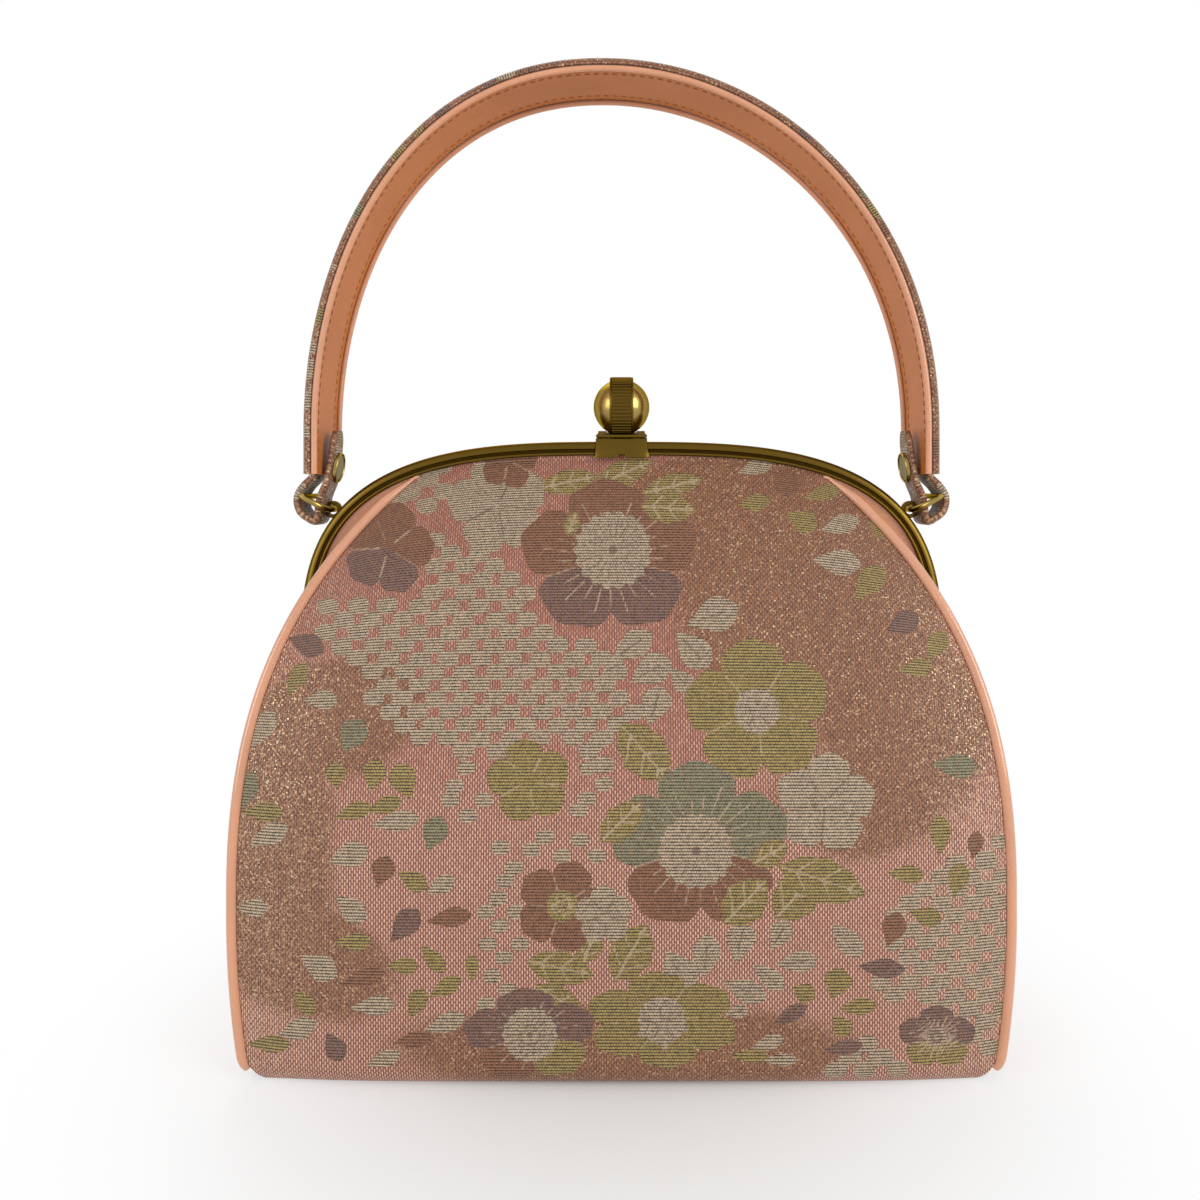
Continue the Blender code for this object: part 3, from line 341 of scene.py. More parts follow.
def brocade_ground(finish, shades, across, along):
    """Salmon ground with staggered pale dashes and a metal haze, and the masks it is mixed by."""
    column = across / DASH_PITCH[0]
    row = along / DASH_PITCH[1] + column.floor().math("MODULO", 2.0) * 0.5
    chance = finish.chance(column.floor(), row.floor())
    luck = finish.chance((across / FLECK_SIZE).floor(), (along / FLECK_SIZE).floor())
    to_side = column.from_middle()
    to_end = row.from_middle()
    dash = (1 - finish.step(to_side, 0.12, 0.42)) * (1 - finish.step(to_end, 0.18, 0.4))
    sideways = finish.node("ShaderNodeSeparateXYZ", {0: finish.object_place()})
    # Painted shade: the pale dashes are dimmed from 6 to 12.5 cm up, where the body leans back and its metal
    # threads catch less light.
    painted_top_shade = finish.step(Value(sideways.socket.node.outputs[2]), 0.06, 0.125) * 0.5
    # Painted highlight: the side edges, where the cloth rolls round and catches the light, are given more
    # glints.
    edge = finish.step(sideways.size(), 0.078, 0.112)
    drift = finish.noise(26.0, 3.0)
    hazy = finish.step(finish.attribute("haze") * 1.2 + (drift - 0.5) * 0.9, 0.25, 0.85)
    thread_light = (1 - finish.step(to_side, 0.18, 0.5)) * 0.7 + luck * 0.35
    ground = finish.mix(thread_light, shades.shade, shades.ground)
    metal_threads = finish.mix(luck * 0.85 + dash * 0.55 - 0.06, shades.shade, shades.gold)
    haze = finish.mix(hazy * 0.85, ground, metal_threads)
    base = finish.mix(dash * (chance * 0.35 + 0.6 - painted_top_shade) * (1 - hazy * 0.82), haze, shades.dash)
    # Painted highlights: glint gives single metal threads in the haze, and more along the side edges, a
    # bright colour as if they caught the light.
    glint = finish.step(luck, 0.93, 1.0) * (hazy * 0.5 + 0.15) + finish.step(luck, 0.55, 0.95) * edge * 0.3
    return finish.mix(glint, base, shades.glint), dash, glint, chance, luck


def brocade_material():
    """Figured silk brocade: woven figures in five threads over the ground."""
    shades = colours()
    finish = Finish("brocade")
    across, along = finish.cloth_place()
    base, dash, glint, chance, luck = brocade_ground(finish, shades, across, along)
    weft = along / WEFT_PITCH
    warp = (across / WARP_PITCH + weft.floor().math("MODULO", 2.0) * 0.5).fraction()
    thread = 1 - finish.step(weft.from_middle(), 0.1, 0.48)
    knot = finish.step((warp - 0.5).size(), 0.12, 0.5)
    figured = thread * (1.04 - knot * 0.44) + 0.14 - knot * 0.06 + (luck - 0.5) * 0.5
    covered = None
    layers = [finish.step(finish.attribute(layer), -0.14, 0.14) for layer in THREAD_LAYERS]
    for layer, mask in zip(THREAD_LAYERS, layers):
        light = finish.node("ShaderNodeCombineColor", {0: figured, 1: figured, 2: figured})
        thread_colour = finish.mix(1.0, getattr(shades, layer), light, "MULTIPLY")
        base = finish.mix(mask, base, thread_colour)
        covered = mask if covered is None else covered.larger(mask)
    spark = layers[2].larger(layers[3]).larger(layers[4]) * dash * (chance * 0.5 + 0.1)
    base = finish.mix(spark, base, shades.gold)
    vein = finish.step(finish.attribute("vein"), -0.12, 0.16)
    vein_colour = finish.mix(layers[0], shades.cream, shades.shade)
    base = finish.mix(vein * (luck * 0.5 + 0.3), base, vein_colour)
    tired = finish.noise(420.0, 2.0)
    base = finish.mix(tired * 0.2, base, shades.shade, "MULTIPLY")

    relief = (1 - covered) * dash * 0.6 + covered * (figured * 0.7 + 0.25) + vein * 0.2
    metal = (1 - covered) * (dash * chance * 0.35 + glint * 0.5) + covered * 0.05
    rough = 0.62 - (1 - covered) * dash * chance * 0.25 - glint * 0.2 - vein * 0.12
    return finish.done(Base_Color=base, Roughness=rough, Metallic=metal,
                       Normal=finish.bump(relief, 0.00016, 0.8), Sheen_Weight=0.1, Sheen_Roughness=0.4)


def vinyl_material(name, shade, roughness=0.24, coat=0.35, gloss=0.5):
    """Glossy vinyl with a fine pressed grain."""
    finish = Finish(name)
    grain = finish.node("ShaderNodeTexVoronoi",
                        {"Vector": finish.object_place(), "Scale": 1500.0, "Randomness": 1.0})
    cloud = finish.noise(45.0, 3.0)
    fine = finish.noise(900.0, 2.0)
    darker = tuple(part * 0.82 for part in shade)
    base = finish.mix(finish.step(cloud, 0.3, 0.75) * 0.55, shade, darker)
    rough = roughness + (fine - 0.5) * 0.12 + (cloud - 0.5) * 0.08
    return finish.done(Base_Color=base, Roughness=rough, Normal=finish.bump(grain, 0.00005, 0.5),
                       Coat_Weight=coat, Coat_Roughness=0.12, Specular_IOR_Level=gloss)


def brass_material(name, shade, roughness=0.3, wear=0.35):
    """Antique gold metal: satin, with darker tarnish and fine wiping marks."""
    finish = Finish(name)
    tarnish = finish.noise(160.0, 4.0)
    cloud = finish.noise(38.0, 2.0)
    marks = finish.node("ShaderNodeMapping",
                        {"Vector": finish.object_place(), "Scale": (900.0, 2600.0, 300.0)})
    wiping = finish.noise(1.0, 2.0, marks)
    dark = tuple(part * 0.52 for part in shade)
    share = finish.step(tarnish * 0.6 + cloud * 0.4, 0.38, 0.72) * wear
    base = finish.mix(share, shade, dark)
    rough = roughness + share * 0.25 + (wiping - 0.5) * 0.14
    return finish.done(Base_Color=base, Roughness=rough, Metallic=1.0, Specular_Tint=(0.5, 0.42, 0.26),
                       Normal=finish.bump(wiping, 0.00002, 0.5))


def satin_material(name, shade):
    """Plain satin: close threads that run one way."""
    finish = Finish(name)
    across = finish.cloth_place()[0]
    thread = (across / SATIN_PITCH).from_middle() * 2.0
    cloud = finish.noise(60.0, 3.0)
    base = finish.mix(finish.step(cloud, 0.25, 0.8) * 0.5, shade, tuple(part * 0.78 for part in shade))
    rough = 0.42 + thread * 0.12
    return finish.done(Base_Color=base, Roughness=rough, Normal=finish.bump(thread, 0.00004, 0.6),
                       Sheen_Weight=0.2, Sheen_Roughness=0.35)


def thread_material(name, shade):
    """Sewing thread: a tight twist."""
    finish = Finish(name)
    twist = finish.node("ShaderNodeTexWave",
                        {"Vector": finish.object_place(), "Scale": 900.0, "Distortion": 0.4},
                        {"bands_direction": "DIAGONAL"})
    base = finish.mix(twist * 0.4, shade, tuple(part * 0.7 for part in shade))
    return finish.done(Base_Color=base, Roughness=0.6 - twist * 0.1, Normal=finish.bump(twist, 0.00005, 0.6))


# Each finish's maker, its name and its colour, then how it differs from its maker's defaults
FINISHES = {
    "vinyl": (vinyl_material, "peach_vinyl", "vinyl"),
    "piping": (vinyl_material, "piping_vinyl", "vinyl", 0.18),
    # The strap vinyl's colour holds painted shade for the strap's underside.
    "strap": (vinyl_material, "strap_vinyl", "strap_vinyl", 0.42, 0.0, 0.18),
    "edging": (vinyl_material, "edging_vinyl", "vinyl", 0.3, 0.1, 0.3),
    # The brass colour holds a painted reflection of dark surroundings.
    "brass": (brass_material, "antique_brass", "brass"),
    "worn": (brass_material, "worn_brass", "brass", 0.5),
    "bright": (brass_material, "bright_brass", "bright", 0.2, 0.55),
    "nickel": (brass_material, "rivet_nickel", "nickel", 0.34, 0.3),
    "lining": (satin_material, "satin_lining", "lining"),
    "thread": (thread_material, "peach_thread", "thread"),
}
MADE = {}


def material(key):
    """Each finish is made once, when a piece first asks for it."""
    if key not in MADE:
        if key == "brocade":
            MADE[key] = brocade_material()
        else:
            maker, name, shade, *rest = FINISHES[key]
            MADE[key] = maker(name, getattr(colours(), shade), *rest)
    return MADE[key]


# Figures woven into the brocade, placed on the front by their place in the photograph

FAR = 60.0
PHOTO_SIZE = 1200
PHOTO_AXIS = (621.5, 490.0)
PHOTO_FOCUS = 1018.0
CAMERA_PLACE = (0.0, -0.350, 0.1804)
FIGURE_SCALE = 0.31
BASE_FIGURES_AT = (620.0, 900.0)
BASE_PIXELS_PER_MM = 3.3


def photo_place(points):
    """Where points of the model fall in the photograph, in pixels."""
    ahead = points[:, 1] - CAMERA_PLACE[1]
    across = PHOTO_AXIS[0] + PHOTO_FOCUS * (points[:, 0] - CAMERA_PLACE[0]) / ahead
    down = PHOTO_AXIS[1] - PHOTO_FOCUS * (points[:, 2] - CAMERA_PLACE[2]) / ahead
    return across, down


def inside_all(*distances):
    """The least of several distances, which is positive inside all of their shapes."""
    least = distances[0]
    for distance in distances[1:]:
        least = np.minimum(least, distance)
    return least


def off_ray(around, out, angle):
    """How far points, given by angle and distance, are from a ray at an angle."""
    return np.abs(np.mod(around - angle + math.pi, FULL_TURN) - math.pi) * out


class Figures:
    """Signed distances to woven figures, one layer for each thread; positive is inside."""

    def __init__(self, across, down):
        self.across = across
        self.down = down
        self.layers = {layer: np.full(len(across), -FAR) for layer in THREAD_LAYERS}
        self.veins = np.full(len(across), -FAR)
        self.haze = np.zeros(len(across))

    def lay(self, layer, distance):
        """Weave a figure in one thread over all that is there."""
        for name, kept in self.layers.items():
            self.layers[name] = np.maximum(kept, distance) if name == layer else np.minimum(kept, -distance)
        self.veins = np.minimum(self.veins, -distance)

    def stroke(self, distance):
        """Add a thin line to the figures."""
        self.veins = np.maximum(self.veins, distance)

    def local(self, place, degrees):
        """Coordinates along and across a direction; 90 degrees is up."""
        angle = math.radians(degrees)
        right, up = self.across - place[0], place[1] - self.down
        return (right * math.cos(angle) + up * math.sin(angle),
                up * math.cos(angle) - right * math.sin(angle))

    def polar(self, place, squash=1.0):
        """Angles and distances round a place; squash flattens what they measure."""
        right, up = self.across - place[0], (place[1] - self.down) / squash
        return np.arctan2(up, right), np.hypot(right, up)

    def petal(self, layer, place, degrees, long, wide, vein=False):
        """A loose petal: pointed at its start, round at its far end."""
        along, side = self.local(place, degrees)
        share = np.clip(along / long + 0.5, 0.0, 1.0)
        outline = wide / 2 * np.sin(math.pi * share ** 1.5) ** 0.8
        distance = np.minimum(outline - np.abs(side), long / 2 - np.abs(along))
        self.lay(layer, distance)
        if vein:
            self.stroke(np.minimum(1.1 - np.abs(side), long * 0.28 - np.abs(along)))

    def leaf(self, layer, place, degrees, long, wide):
        """A pointed leaf with a midrib and three pairs of side veins."""
        along, side = self.local(place, degrees)
        share = np.clip(np.abs(along) / (long / 2), 0.0, 1.0)
        outline = wide / 2 * (1 - share ** 2.2) * (1 + 0.06 * np.cos(along / long * FULL_TURN * 3.5))
        distance = np.minimum(outline - np.abs(side), long / 2 - np.abs(along))
        self.lay(layer, distance)
        inside = distance - 2.0
        self.stroke(np.minimum(1.3 - np.abs(side), inside))
        for index in range(3):
            start = long * ((index + 0.7) / 3.4 - 0.5)
            rib = 1.15 - np.abs((along - start) - np.abs(side) * 0.9) * 0.75
            self.stroke(np.minimum(rib, inside))

    def flower(self, layers, place, radius, turn, core=0.2, core_layer=None, rays=1, squash=1.0, notch=0.05,
               gap=0.28):
        """A flower with one petal for each entry of layers, counted anticlockwise from turn."""
        around, out = self.polar(place, squash)
        around = around - math.radians(turn)
        count = len(layers)
        sector = np.mod(around / FULL_TURN * count + 0.5, count)
        swing = np.abs(np.mod(sector, 1.0) - 0.5) * 2
        edge = radius * (1 - gap * swing ** 3 - notch * 0.5 * (1 - np.cos(swing * FULL_TURN / 0.8)))
        whole = edge - out
        side_gap = (1 - swing) * math.pi / count * out
        for index, layer in enumerate(layers):
            off = np.abs(np.mod(sector - (index + 0.5) + count / 2, count) - count / 2)
            wedge = (0.5 - off) * FULL_TURN / count * out
            self.lay(layer, np.minimum(whole, wedge + 0.1))
        self.stroke(inside_all(1.1 - side_gap, out - radius * core, whole - radius * 0.08))
        for index in range(count * rays):
            bend = off_ray(around, out, (index + 0.5) / (count * rays) * FULL_TURN)
            reach = radius * (0.74 if index % 2 else 0.6)
            self.stroke(inside_all(1.0 - bend, reach - out, out - radius * core))
        if core_layer:
            self.rosette(core_layer, place, radius * core)

    def rosette(self, layer, place, radius):
        """A round flower centre with a scalloped edge and fine rays."""
        rays = 18
        around, out = self.polar(place)
        self.lay(layer, radius * (1 + 0.05 * np.cos(around * rays)) - out)
        dots = 0.5 * np.cos(out * 1.3)
        for index in range(rays):
            bend = off_ray(around, out, index / rays * FULL_TURN)
            self.stroke(inside_all(0.75 + dots - bend, radius * 0.88 - out, out - radius * 0.3))
        self.stroke(radius * 0.12 - out)

    def tied_dot(self, place):
        """One tied dot: a soft square with an open middle."""
        along, side = self.local(place, 8.0)
        blob = self.dot_edge(along, side, 9.0)
        eye = np.hypot(along, side) - 1.5
        self.layers["cream"] = np.maximum(self.layers["cream"], np.minimum(blob, eye))

    @staticmethod
    def dot_edge(right, up, size):
        """Distance inside a soft oval, wider than it is high."""
        return size - (np.abs(right) ** 2.6 + np.abs(up * 1.28) ** 2.6) ** (1 / 2.6)

    def tied_field(self, outline):
        """A field of tied dots in staggered rows, inside an outline."""
        corners = np.array(outline)
        low, high = corners.min(0), corners.max(0)
        across, down = 15.3, 13.2
        for row in range(int((high[1] - low[1]) / down) + 1):
            for column in range(int((high[0] - low[0]) / (across * 2)) + 1):
                stray = 1.5 * math.sin(row * 5.1 + column * 2.3), math.sin(row * 2.7 + column * 4.9) * 0.8
                middle = (low[0] + across * (2 * column + row % 2) + stray[0], low[1] + down * row + stray[1])
                if inside_outline(middle, corners):
                    self.tied_near(middle)

    def tied_near(self, middle):
        """Add one dot of a field, touching only the points round it."""
        reach = 14
        near = (np.abs(self.across - middle[0]) < reach) & (np.abs(self.down - middle[1]) < reach)
        right = self.across[near] - middle[0]
        up = middle[1] - self.down[near]
        blob = self.dot_edge(right * 0.99 + up * 0.1, up - right * 0.1, 10.6)
        eye = np.hypot(right, up) - 1.1
        cream = self.layers["cream"]
        cream[near] = np.maximum(cream[near], np.minimum(blob, eye))

    def cloud(self, place, wide, high, degrees):
        """A cloud of metal threads with soft edges."""
        along, side = self.local(place, degrees)
        share = 1.25 - np.hypot(along / wide, side / high)
        self.haze = np.maximum(self.haze, np.clip(share * 1.6, 0, 1))

    def keep(self, mesh, scale=1.0):
        """Store the layers on a mesh, in millimetres of cloth."""
        for layer, distance in (*self.layers.items(), ("vein", self.veins)):
            entry = mesh.attributes.new(layer, "FLOAT", "POINT")
            entry.data.foreach_set("value", (np.clip(distance, -FAR, FAR) * scale).astype(np.float32))
        entry = mesh.attributes.new("haze", "FLOAT", "POINT")
        entry.data.foreach_set("value", self.haze.astype(np.float32))


def inside_outline(point, corners):
    """Whether a point lies inside a closed outline."""
    inside = False
    for (x_one, y_one), (x_two, y_two) in zip(corners, np.roll(corners, -1, axis=0)):
        if (y_one > point[1]) != (y_two > point[1]):
            crossing = x_one + (point[1] - y_one) / (y_two - y_one) * (x_two - x_one)
            inside ^= bool(point[0] < crossing)
    return inside


TIED_FIELDS = (
    ((432, 540), (470, 540), (512, 556), (536, 596), (550, 628), (590, 640), (618, 668), (640, 716),
     (616, 742), (600, 772), (582, 748), (548, 742), (520, 730), (496, 768), (452, 752), (404, 742),
     (372, 708), (352, 670), (322, 640), (312, 612), (346, 590), (372, 604), (404, 606), (424, 580)),
    ((468, 452), (446, 462), (400, 486), (366, 508), (388, 514), (430, 520), (452, 486)),
    ((884, 902), (930, 866), (1012, 850), (1018, 1010), (986, 1052), (932, 1010), (880, 990)),
    ((820, 1056), (884, 1030), (912, 1072), (826, 1078)),
)
TIED_DOTS = (
    (501, 848), (531, 850), (545, 837), (562, 856), (580, 840), (597, 856), (514, 868), (505, 881),
    (589, 768), (604, 784), (587, 799), (579, 810), (595, 744), (498, 898), (486, 912), (500, 926),
    (516, 912), (488, 944), (504, 958), (520, 944), (492, 976), (508, 990), (486, 1004), (466, 768),
    (450, 800), (468, 816), (484, 800), (454, 786), (640, 764), (1000, 842), (986, 858))
HAZE_CLOUDS = (
    ((800, 590), 150, 120, -38.0), ((720, 500), 110, 55, 8.0), ((900, 720), 110, 90, -50.0),
    ((270, 850), 70, 150, 0.0), ((330, 720), 100, 60, 20.0), ((300, 960), 100, 60, -20.0),
    ((620, 1050), 240, 46, 0.0), ((860, 800), 90, 60, 0.0))
WHITE_FLOWERS = (((498, 505), 51, 100.0), ((825, 803), 51, 84.0))
LOOSE_PETALS = (
    ("cream", (755, 467), 20, 40, 17), ("rose", (784, 482), -40, 34, 26), ("olive", (753, 503), 8, 34, 18),
    ("olive", (822, 493), 15, 42, 16), ("olive", (801, 520), -25, 34, 24),
    ("cream", (839, 525), 15, 42, 20), ("olive", (879, 528), -40, 26, 18),
    ("cream", (836, 562), -6, 52, 26), ("olive", (868, 584), 50, 46, 26),
    ("mauve", (902, 624), 30, 38, 24), ("olive", (936, 646), 60, 34, 22),
    ("olive", (915, 668), 10, 36, 18), ("sage", (954, 766), -5, 48, 24), ("olive", (940, 836), 90, 42, 22),
    ("olive", (905, 874), -5, 40, 18), ("rose", (893, 930), 70, 38, 24), ("olive", (958, 880), 75, 36, 22),
    ("olive", (925, 916), -15, 36, 20), ("rose", (975, 846), 80, 30, 16),
    ("mauve", (880, 968), -5, 50, 20), ("cream", (846, 939), -48, 46, 24),
    ("olive", (803, 992), -25, 26, 20), ("olive", (837, 984), 70, 34, 28),
    ("olive", (857, 1007), 8, 40, 18), ("olive", (841, 1025), -50, 26, 20),
    ("mauve", (790, 1015), 30, 40, 16), ("mauve", (842, 1048), 8, 44, 15),
    ("cream", (766, 1044), 20, 38, 16), ("cream", (779, 1060), 0, 40, 13),
    ("cream", (835, 1068), 20, 32, 13), ("olive", (748, 1056), 0, 40, 14),
    ("cream", (874, 1060), 30, 30, 18), ("mauve", (306, 644), -20, 40, 24),
    ("olive", (296, 680), 60, 40, 18), ("cream", (320, 700), 0, 36, 20), ("sage", (352, 736), 60, 38, 28),
    ("cream", (262, 730), 60, 46, 22), ("sage", (247, 792), 75, 44, 20), ("olive", (336, 776), 95, 30, 20),
    ("olive", (374, 776), 80, 34, 24), ("olive", (404, 782), 110, 40, 28),
    ("olive", (352, 812), 20, 40, 18), ("olive", (384, 806), 20, 38, 18),
    ("cream", (394, 822), 10, 52, 20), ("sage", (434, 834), 70, 38, 26), ("cream", (348, 856), 20, 44, 26),
    ("rose", (382, 872), 70, 34, 24), ("olive", (412, 880), -30, 36, 20),
    ("cream", (440, 886), 30, 34, 18), ("cream", (350, 908), -40, 40, 24),
    ("mauve", (404, 926), 50, 44, 26), ("olive", (352, 942), 0, 40, 18), ("rose", (448, 918), 10, 48, 20),
    ("olive", (432, 958), -50, 38, 18), ("olive", (402, 966), 0, 32, 18),
    ("olive", (444, 988), 30, 40, 18), ("cream", (318, 966), -30, 44, 26),
    ("rose", (362, 978), 15, 48, 18), ("cream", (372, 1006), 5, 48, 20),
    ("olive", (416, 1004), 70, 34, 20), ("cream", (444, 1024), 20, 46, 20),
    ("rose", (412, 1040), 10, 44, 16), ("olive", (304, 1002), -50, 32, 18),
    ("mauve", (334, 1046), -60, 34, 22), ("cream", (296, 1030), 20, 44, 22),
    ("olive", (268, 1044), 0, 46, 18), ("cream", (382, 1060), 20, 40, 16),
    ("olive", (262, 812), 0, 44, 20), ("cream", (268, 836), 25, 44, 22), ("cream", (252, 908), 0, 34, 18),
    ("olive", (472, 968), 90, 28, 14))
WHITE_SPRAY = (
    ((631, 647), 35, 50, 28), ((692, 649), -48, 50, 32), ((712, 616), 20, 56, 36),
    ((650, 671), 30, 48, 32), ((655, 706), 72, 42, 30), ((681, 680), -50, 32, 22), ((710, 684), 0, 34, 22),
    ((612, 668), 30, 26, 18), ((706, 957), 84, 46, 28), ((740, 943), 78, 46, 29), ((779, 936), 60, 36, 22),
    ((796, 962), 8, 44, 22), ((768, 976), -40, 42, 20), ((744, 990), -22, 48, 24),
    ((678, 970), -58, 50, 36), ((736, 1012), 10, 26, 14))
VEINED_LEAVES = (
    ((568, 482), 12, 60, 24), ((622, 474), 24, 66, 26), ((672, 486), 14, 64, 24), ((644, 752), -50, 74, 46),
    ((796, 896), 48, 62, 44), ((822, 880), -18, 92, 44), ((768, 856), 20, 38, 24), ((742, 900), 50, 52, 38),
    ((631, 953), 60, 66, 42), ((560, 968), -12, 70, 34), ((590, 944), 70, 44, 26), ((624, 822), 48, 52, 26),
    ((560, 1000), -30, 60, 24))
OVERLAID_LEAVES = (
    ((668, 508), -4, 56, 30), ((621, 822), 44, 58, 32), ((770, 854), 30, 42, 26), ((745, 902), 46, 62, 42),
    ((572, 524), 70, 26, 16))
PATCHWORK_FLOWERS = (
    (("mauve", "mauve", "rose", "olive", "mauve"), (530, 1035), 68, 96.0, 0.4, 0.7),
    (("mauve", "mauve", "olive", "olive", "mauve"), (937, 1037), 40, 90.0, 0.24, 0.8))


def front_figures(across, down):
    """All the figures of the front, laid from the ground up."""
    figures = Figures(across, down)
    for place, wide, high, degrees in HAZE_CLOUDS:
        figures.cloud(place, wide, high, degrees)
    for outline in TIED_FIELDS:
        figures.tied_field(outline)
    for place in TIED_DOTS:
        figures.tied_dot(place)
    for layer, place, degrees, long, wide in LOOSE_PETALS:
        figures.petal(layer, place, degrees, long, wide)
    for place, degrees, long, wide in VEINED_LEAVES:
        figures.leaf("olive", place, degrees, long, wide)
    for place, degrees, long, wide in WHITE_SPRAY:
        figures.petal("cream", place, degrees, long, wide, vein=True)
    rose_and_mauve = ("rose", "rose", "mauve", "mauve", "rose")
    sage_and_rose = ("sage", "sage", "rose", "rose", "sage")
    for place, radius, turn in WHITE_FLOWERS:
        figures.flower(("cream",) * 5, place, radius, turn, core=0.1)
    figures.flower(rose_and_mauve, (388, 548), 47, 75.0, core=0.16)
    figures.flower(("rose",) * 5, (508, 460), 30, 80.0)
    figures.flower(("olive",) * 5, (757, 711), 74, 96.0, core=0.3, core_layer="cream")
    figures.flower(("cream",) * 5, (757, 711), 26, 60.0, notch=0.3, gap=0.5)
    figures.flower(("olive",) * 5, (529, 781), 43, 100.0)
    figures.flower(rose_and_mauve, (609, 557), 91, 92.0, core=0.4, rays=5, squash=0.86)
    figures.rosette("cream", (613, 550), 38)
    figures.flower(sage_and_rose, (699, 846), 93, 92.0, core=0.36, rays=5, squash=0.92)
    figures.rosette("cream", (696, 851), 37)
    for place, degrees, long, wide in OVERLAID_LEAVES:
        figures.leaf("olive", place, degrees, long, wide)
    figures.flower(("rose",) * 5, (562, 906), 47, 70.0, core=0.34, core_layer="olive")
    figures.flower(("cream",) * 5, (604, 915), 30, 20.0)
    figures.flower(("olive",) * 6, (662, 1020), 79, 96.0, core=0.3, core_layer="cream", squash=0.62)
    figures.flower(("cream",) * 5, (662, 1024), 28, 60.0, notch=0.3, gap=0.5)
    for layers, place, radius, turn, core, squash in PATCHWORK_FLOWERS:
        figures.flower(layers, place, radius, turn, core, "cream", 5, squash)
    return figures


# Mesh building


def add(name, data, place=(0.0, 0.0, 0.0), turn=(0.0, 0.0, 0.0)):
    """Put an object with its data in the scene."""
    thing = bpy.data.objects.new(name, data)
    thing.location = place
    thing.rotation_euler = turn
    bpy.context.scene.collection.objects.link(thing)
    return thing


def link(name, mesh, finish):
    """Put a mesh in the scene as a piece with its material."""
    mesh.materials.clear()
    mesh.materials.append(finish)
    return add(name, mesh)


def built(name, points, faces, finish):
    """A piece from points, in a grid of any shape, and faces."""
    mesh = bpy.data.meshes.new(name)
    mesh.from_pydata(points.reshape(-1, 3).tolist(), [], faces)
    return link(name, mesh, finish)


def outward(mesh):
    """Turn every face of a closed mesh outward, after its doubles are merged."""
    bm = bmesh.new()
    bm.from_mesh(mesh)
    bmesh.ops.remove_doubles(bm, verts=bm.verts, dist=0.0000005)
    bmesh.ops.recalc_face_normals(bm, faces=bm.faces)
    bm.to_mesh(mesh)
    bm.free()


def smooth(piece, degrees):
    """Shade a piece smooth, with sharp edges past an angle."""
    piece.data.shade_smooth()
    piece.data.set_sharp_from_angle(angle=math.radians(degrees))
    return piece


def points_of(mesh):
    """The mesh's points as rows of three."""
    points = np.empty(len(mesh.vertices) * 3)
    mesh.vertices.foreach_get("co", points)
    return points.reshape(-1, 3)


def distance_along(points):
    """The distance run from the first point to each, along the first axis of a grid."""
    steps = np.linalg.norm(np.diff(points, axis=0), axis=-1)
    return np.concatenate([np.zeros_like(steps[:1]), np.cumsum(steps, axis=0)])


def quads(rows, columns, start=0, wrap=False):
    """Faces of a grid of points; wrap joins the last column to the first."""
    row, column = np.meshgrid(np.arange(rows - 1), np.arange(columns if wrap else columns - 1), indexing="ij")
    following = (column + 1) % columns
    corners = (row * columns + column, row * columns + following,
               (row + 1) * columns + following, (row + 1) * columns + column)
    return (np.stack(corners, -1).reshape(-1, 4) + start).tolist()


def corner_points(mesh):
    """The number of the point at each face's corners."""
    corners = np.empty(len(mesh.loops), np.int32)
    mesh.loops.foreach_get("vertex_index", corners)
    return corners


def lay_map(mesh, places):
    """Keep a cloth map, in millimetres, as the mesh's UV map."""
    layer = mesh.uv_layers.new(name="UVMap")
    layer.data.foreach_set("uv", np.asarray(places, np.float32)[corner_points(mesh)].ravel())


def arc(steps, turn):
    """The angles of an arc in even steps, with both ends."""
    return [turn * step / steps for step in range(steps + 1)]


def unit(vectors):
    """Vectors brought to length one."""
    return vectors / np.maximum(np.linalg.norm(vectors, axis=-1, keepdims=True), 1e-12)


def normals_of(points):
    """Normals of a grid of points, from its own slopes."""
    down = np.gradient(points, axis=0)
    along = np.gradient(points, axis=1)
    return unit(np.cross(along, down))


def cloth_map(points):
    """Distances across and along a grid of points, in millimetres, measured on the cloth."""
    across = distance_along(points.swapaxes(0, 1)).T
    middle = points.shape[1] // 2
    down = distance_along(points[:, middle])
    return np.stack([across - across[:, middle][:, None], down[:, None] + np.zeros_like(across)], -1) / MM


def two_sided(name, outer, inner, finish, inside, step=1, places=None):
    """A closed sheet from a fine outer grid and an inner grid that keeps every step-th point."""
    rows, columns = outer.shape[:2]
    back = inner[::step, ::step]
    back_rows, back_columns = back.shape[:2]
    count = rows * columns
    points = np.concatenate([outer.reshape(-1, 3), back.reshape(-1, 3)])
    faces = quads(rows, columns)
    front_count = len(faces)
    faces += [face[::-1] for face in quads(back_rows, back_columns, count)]
    back_count = len(faces)
    front = np.arange(count).reshape(rows, columns)
    rear = count + np.arange(back_rows * back_columns).reshape(back_rows, back_columns)
    for side, back_side in ((front, rear), (front.T, rear.T)):
        for line in (0, -1):
            for index in range(0, side.shape[1] - 1, step):
                following = index // step
                faces.append([*side[line, index:index + step + 1].tolist(),
                              *back_side[line, [following + 1, following]].tolist()])
    piece = built(name, points, faces, finish)
    mesh = piece.data
    if places is None:
        places = cloth_map(outer)
    lay_map(mesh, np.concatenate([places.reshape(-1, 2), places[::step, ::step].reshape(-1, 2)]))
    mesh.materials.append(inside)
    finish_numbers = np.zeros(len(faces), np.int32)
    finish_numbers[front_count:back_count] = 1
    mesh.polygons.foreach_set("material_index", finish_numbers)
    outward(mesh)
    return smooth(piece, 50.0)


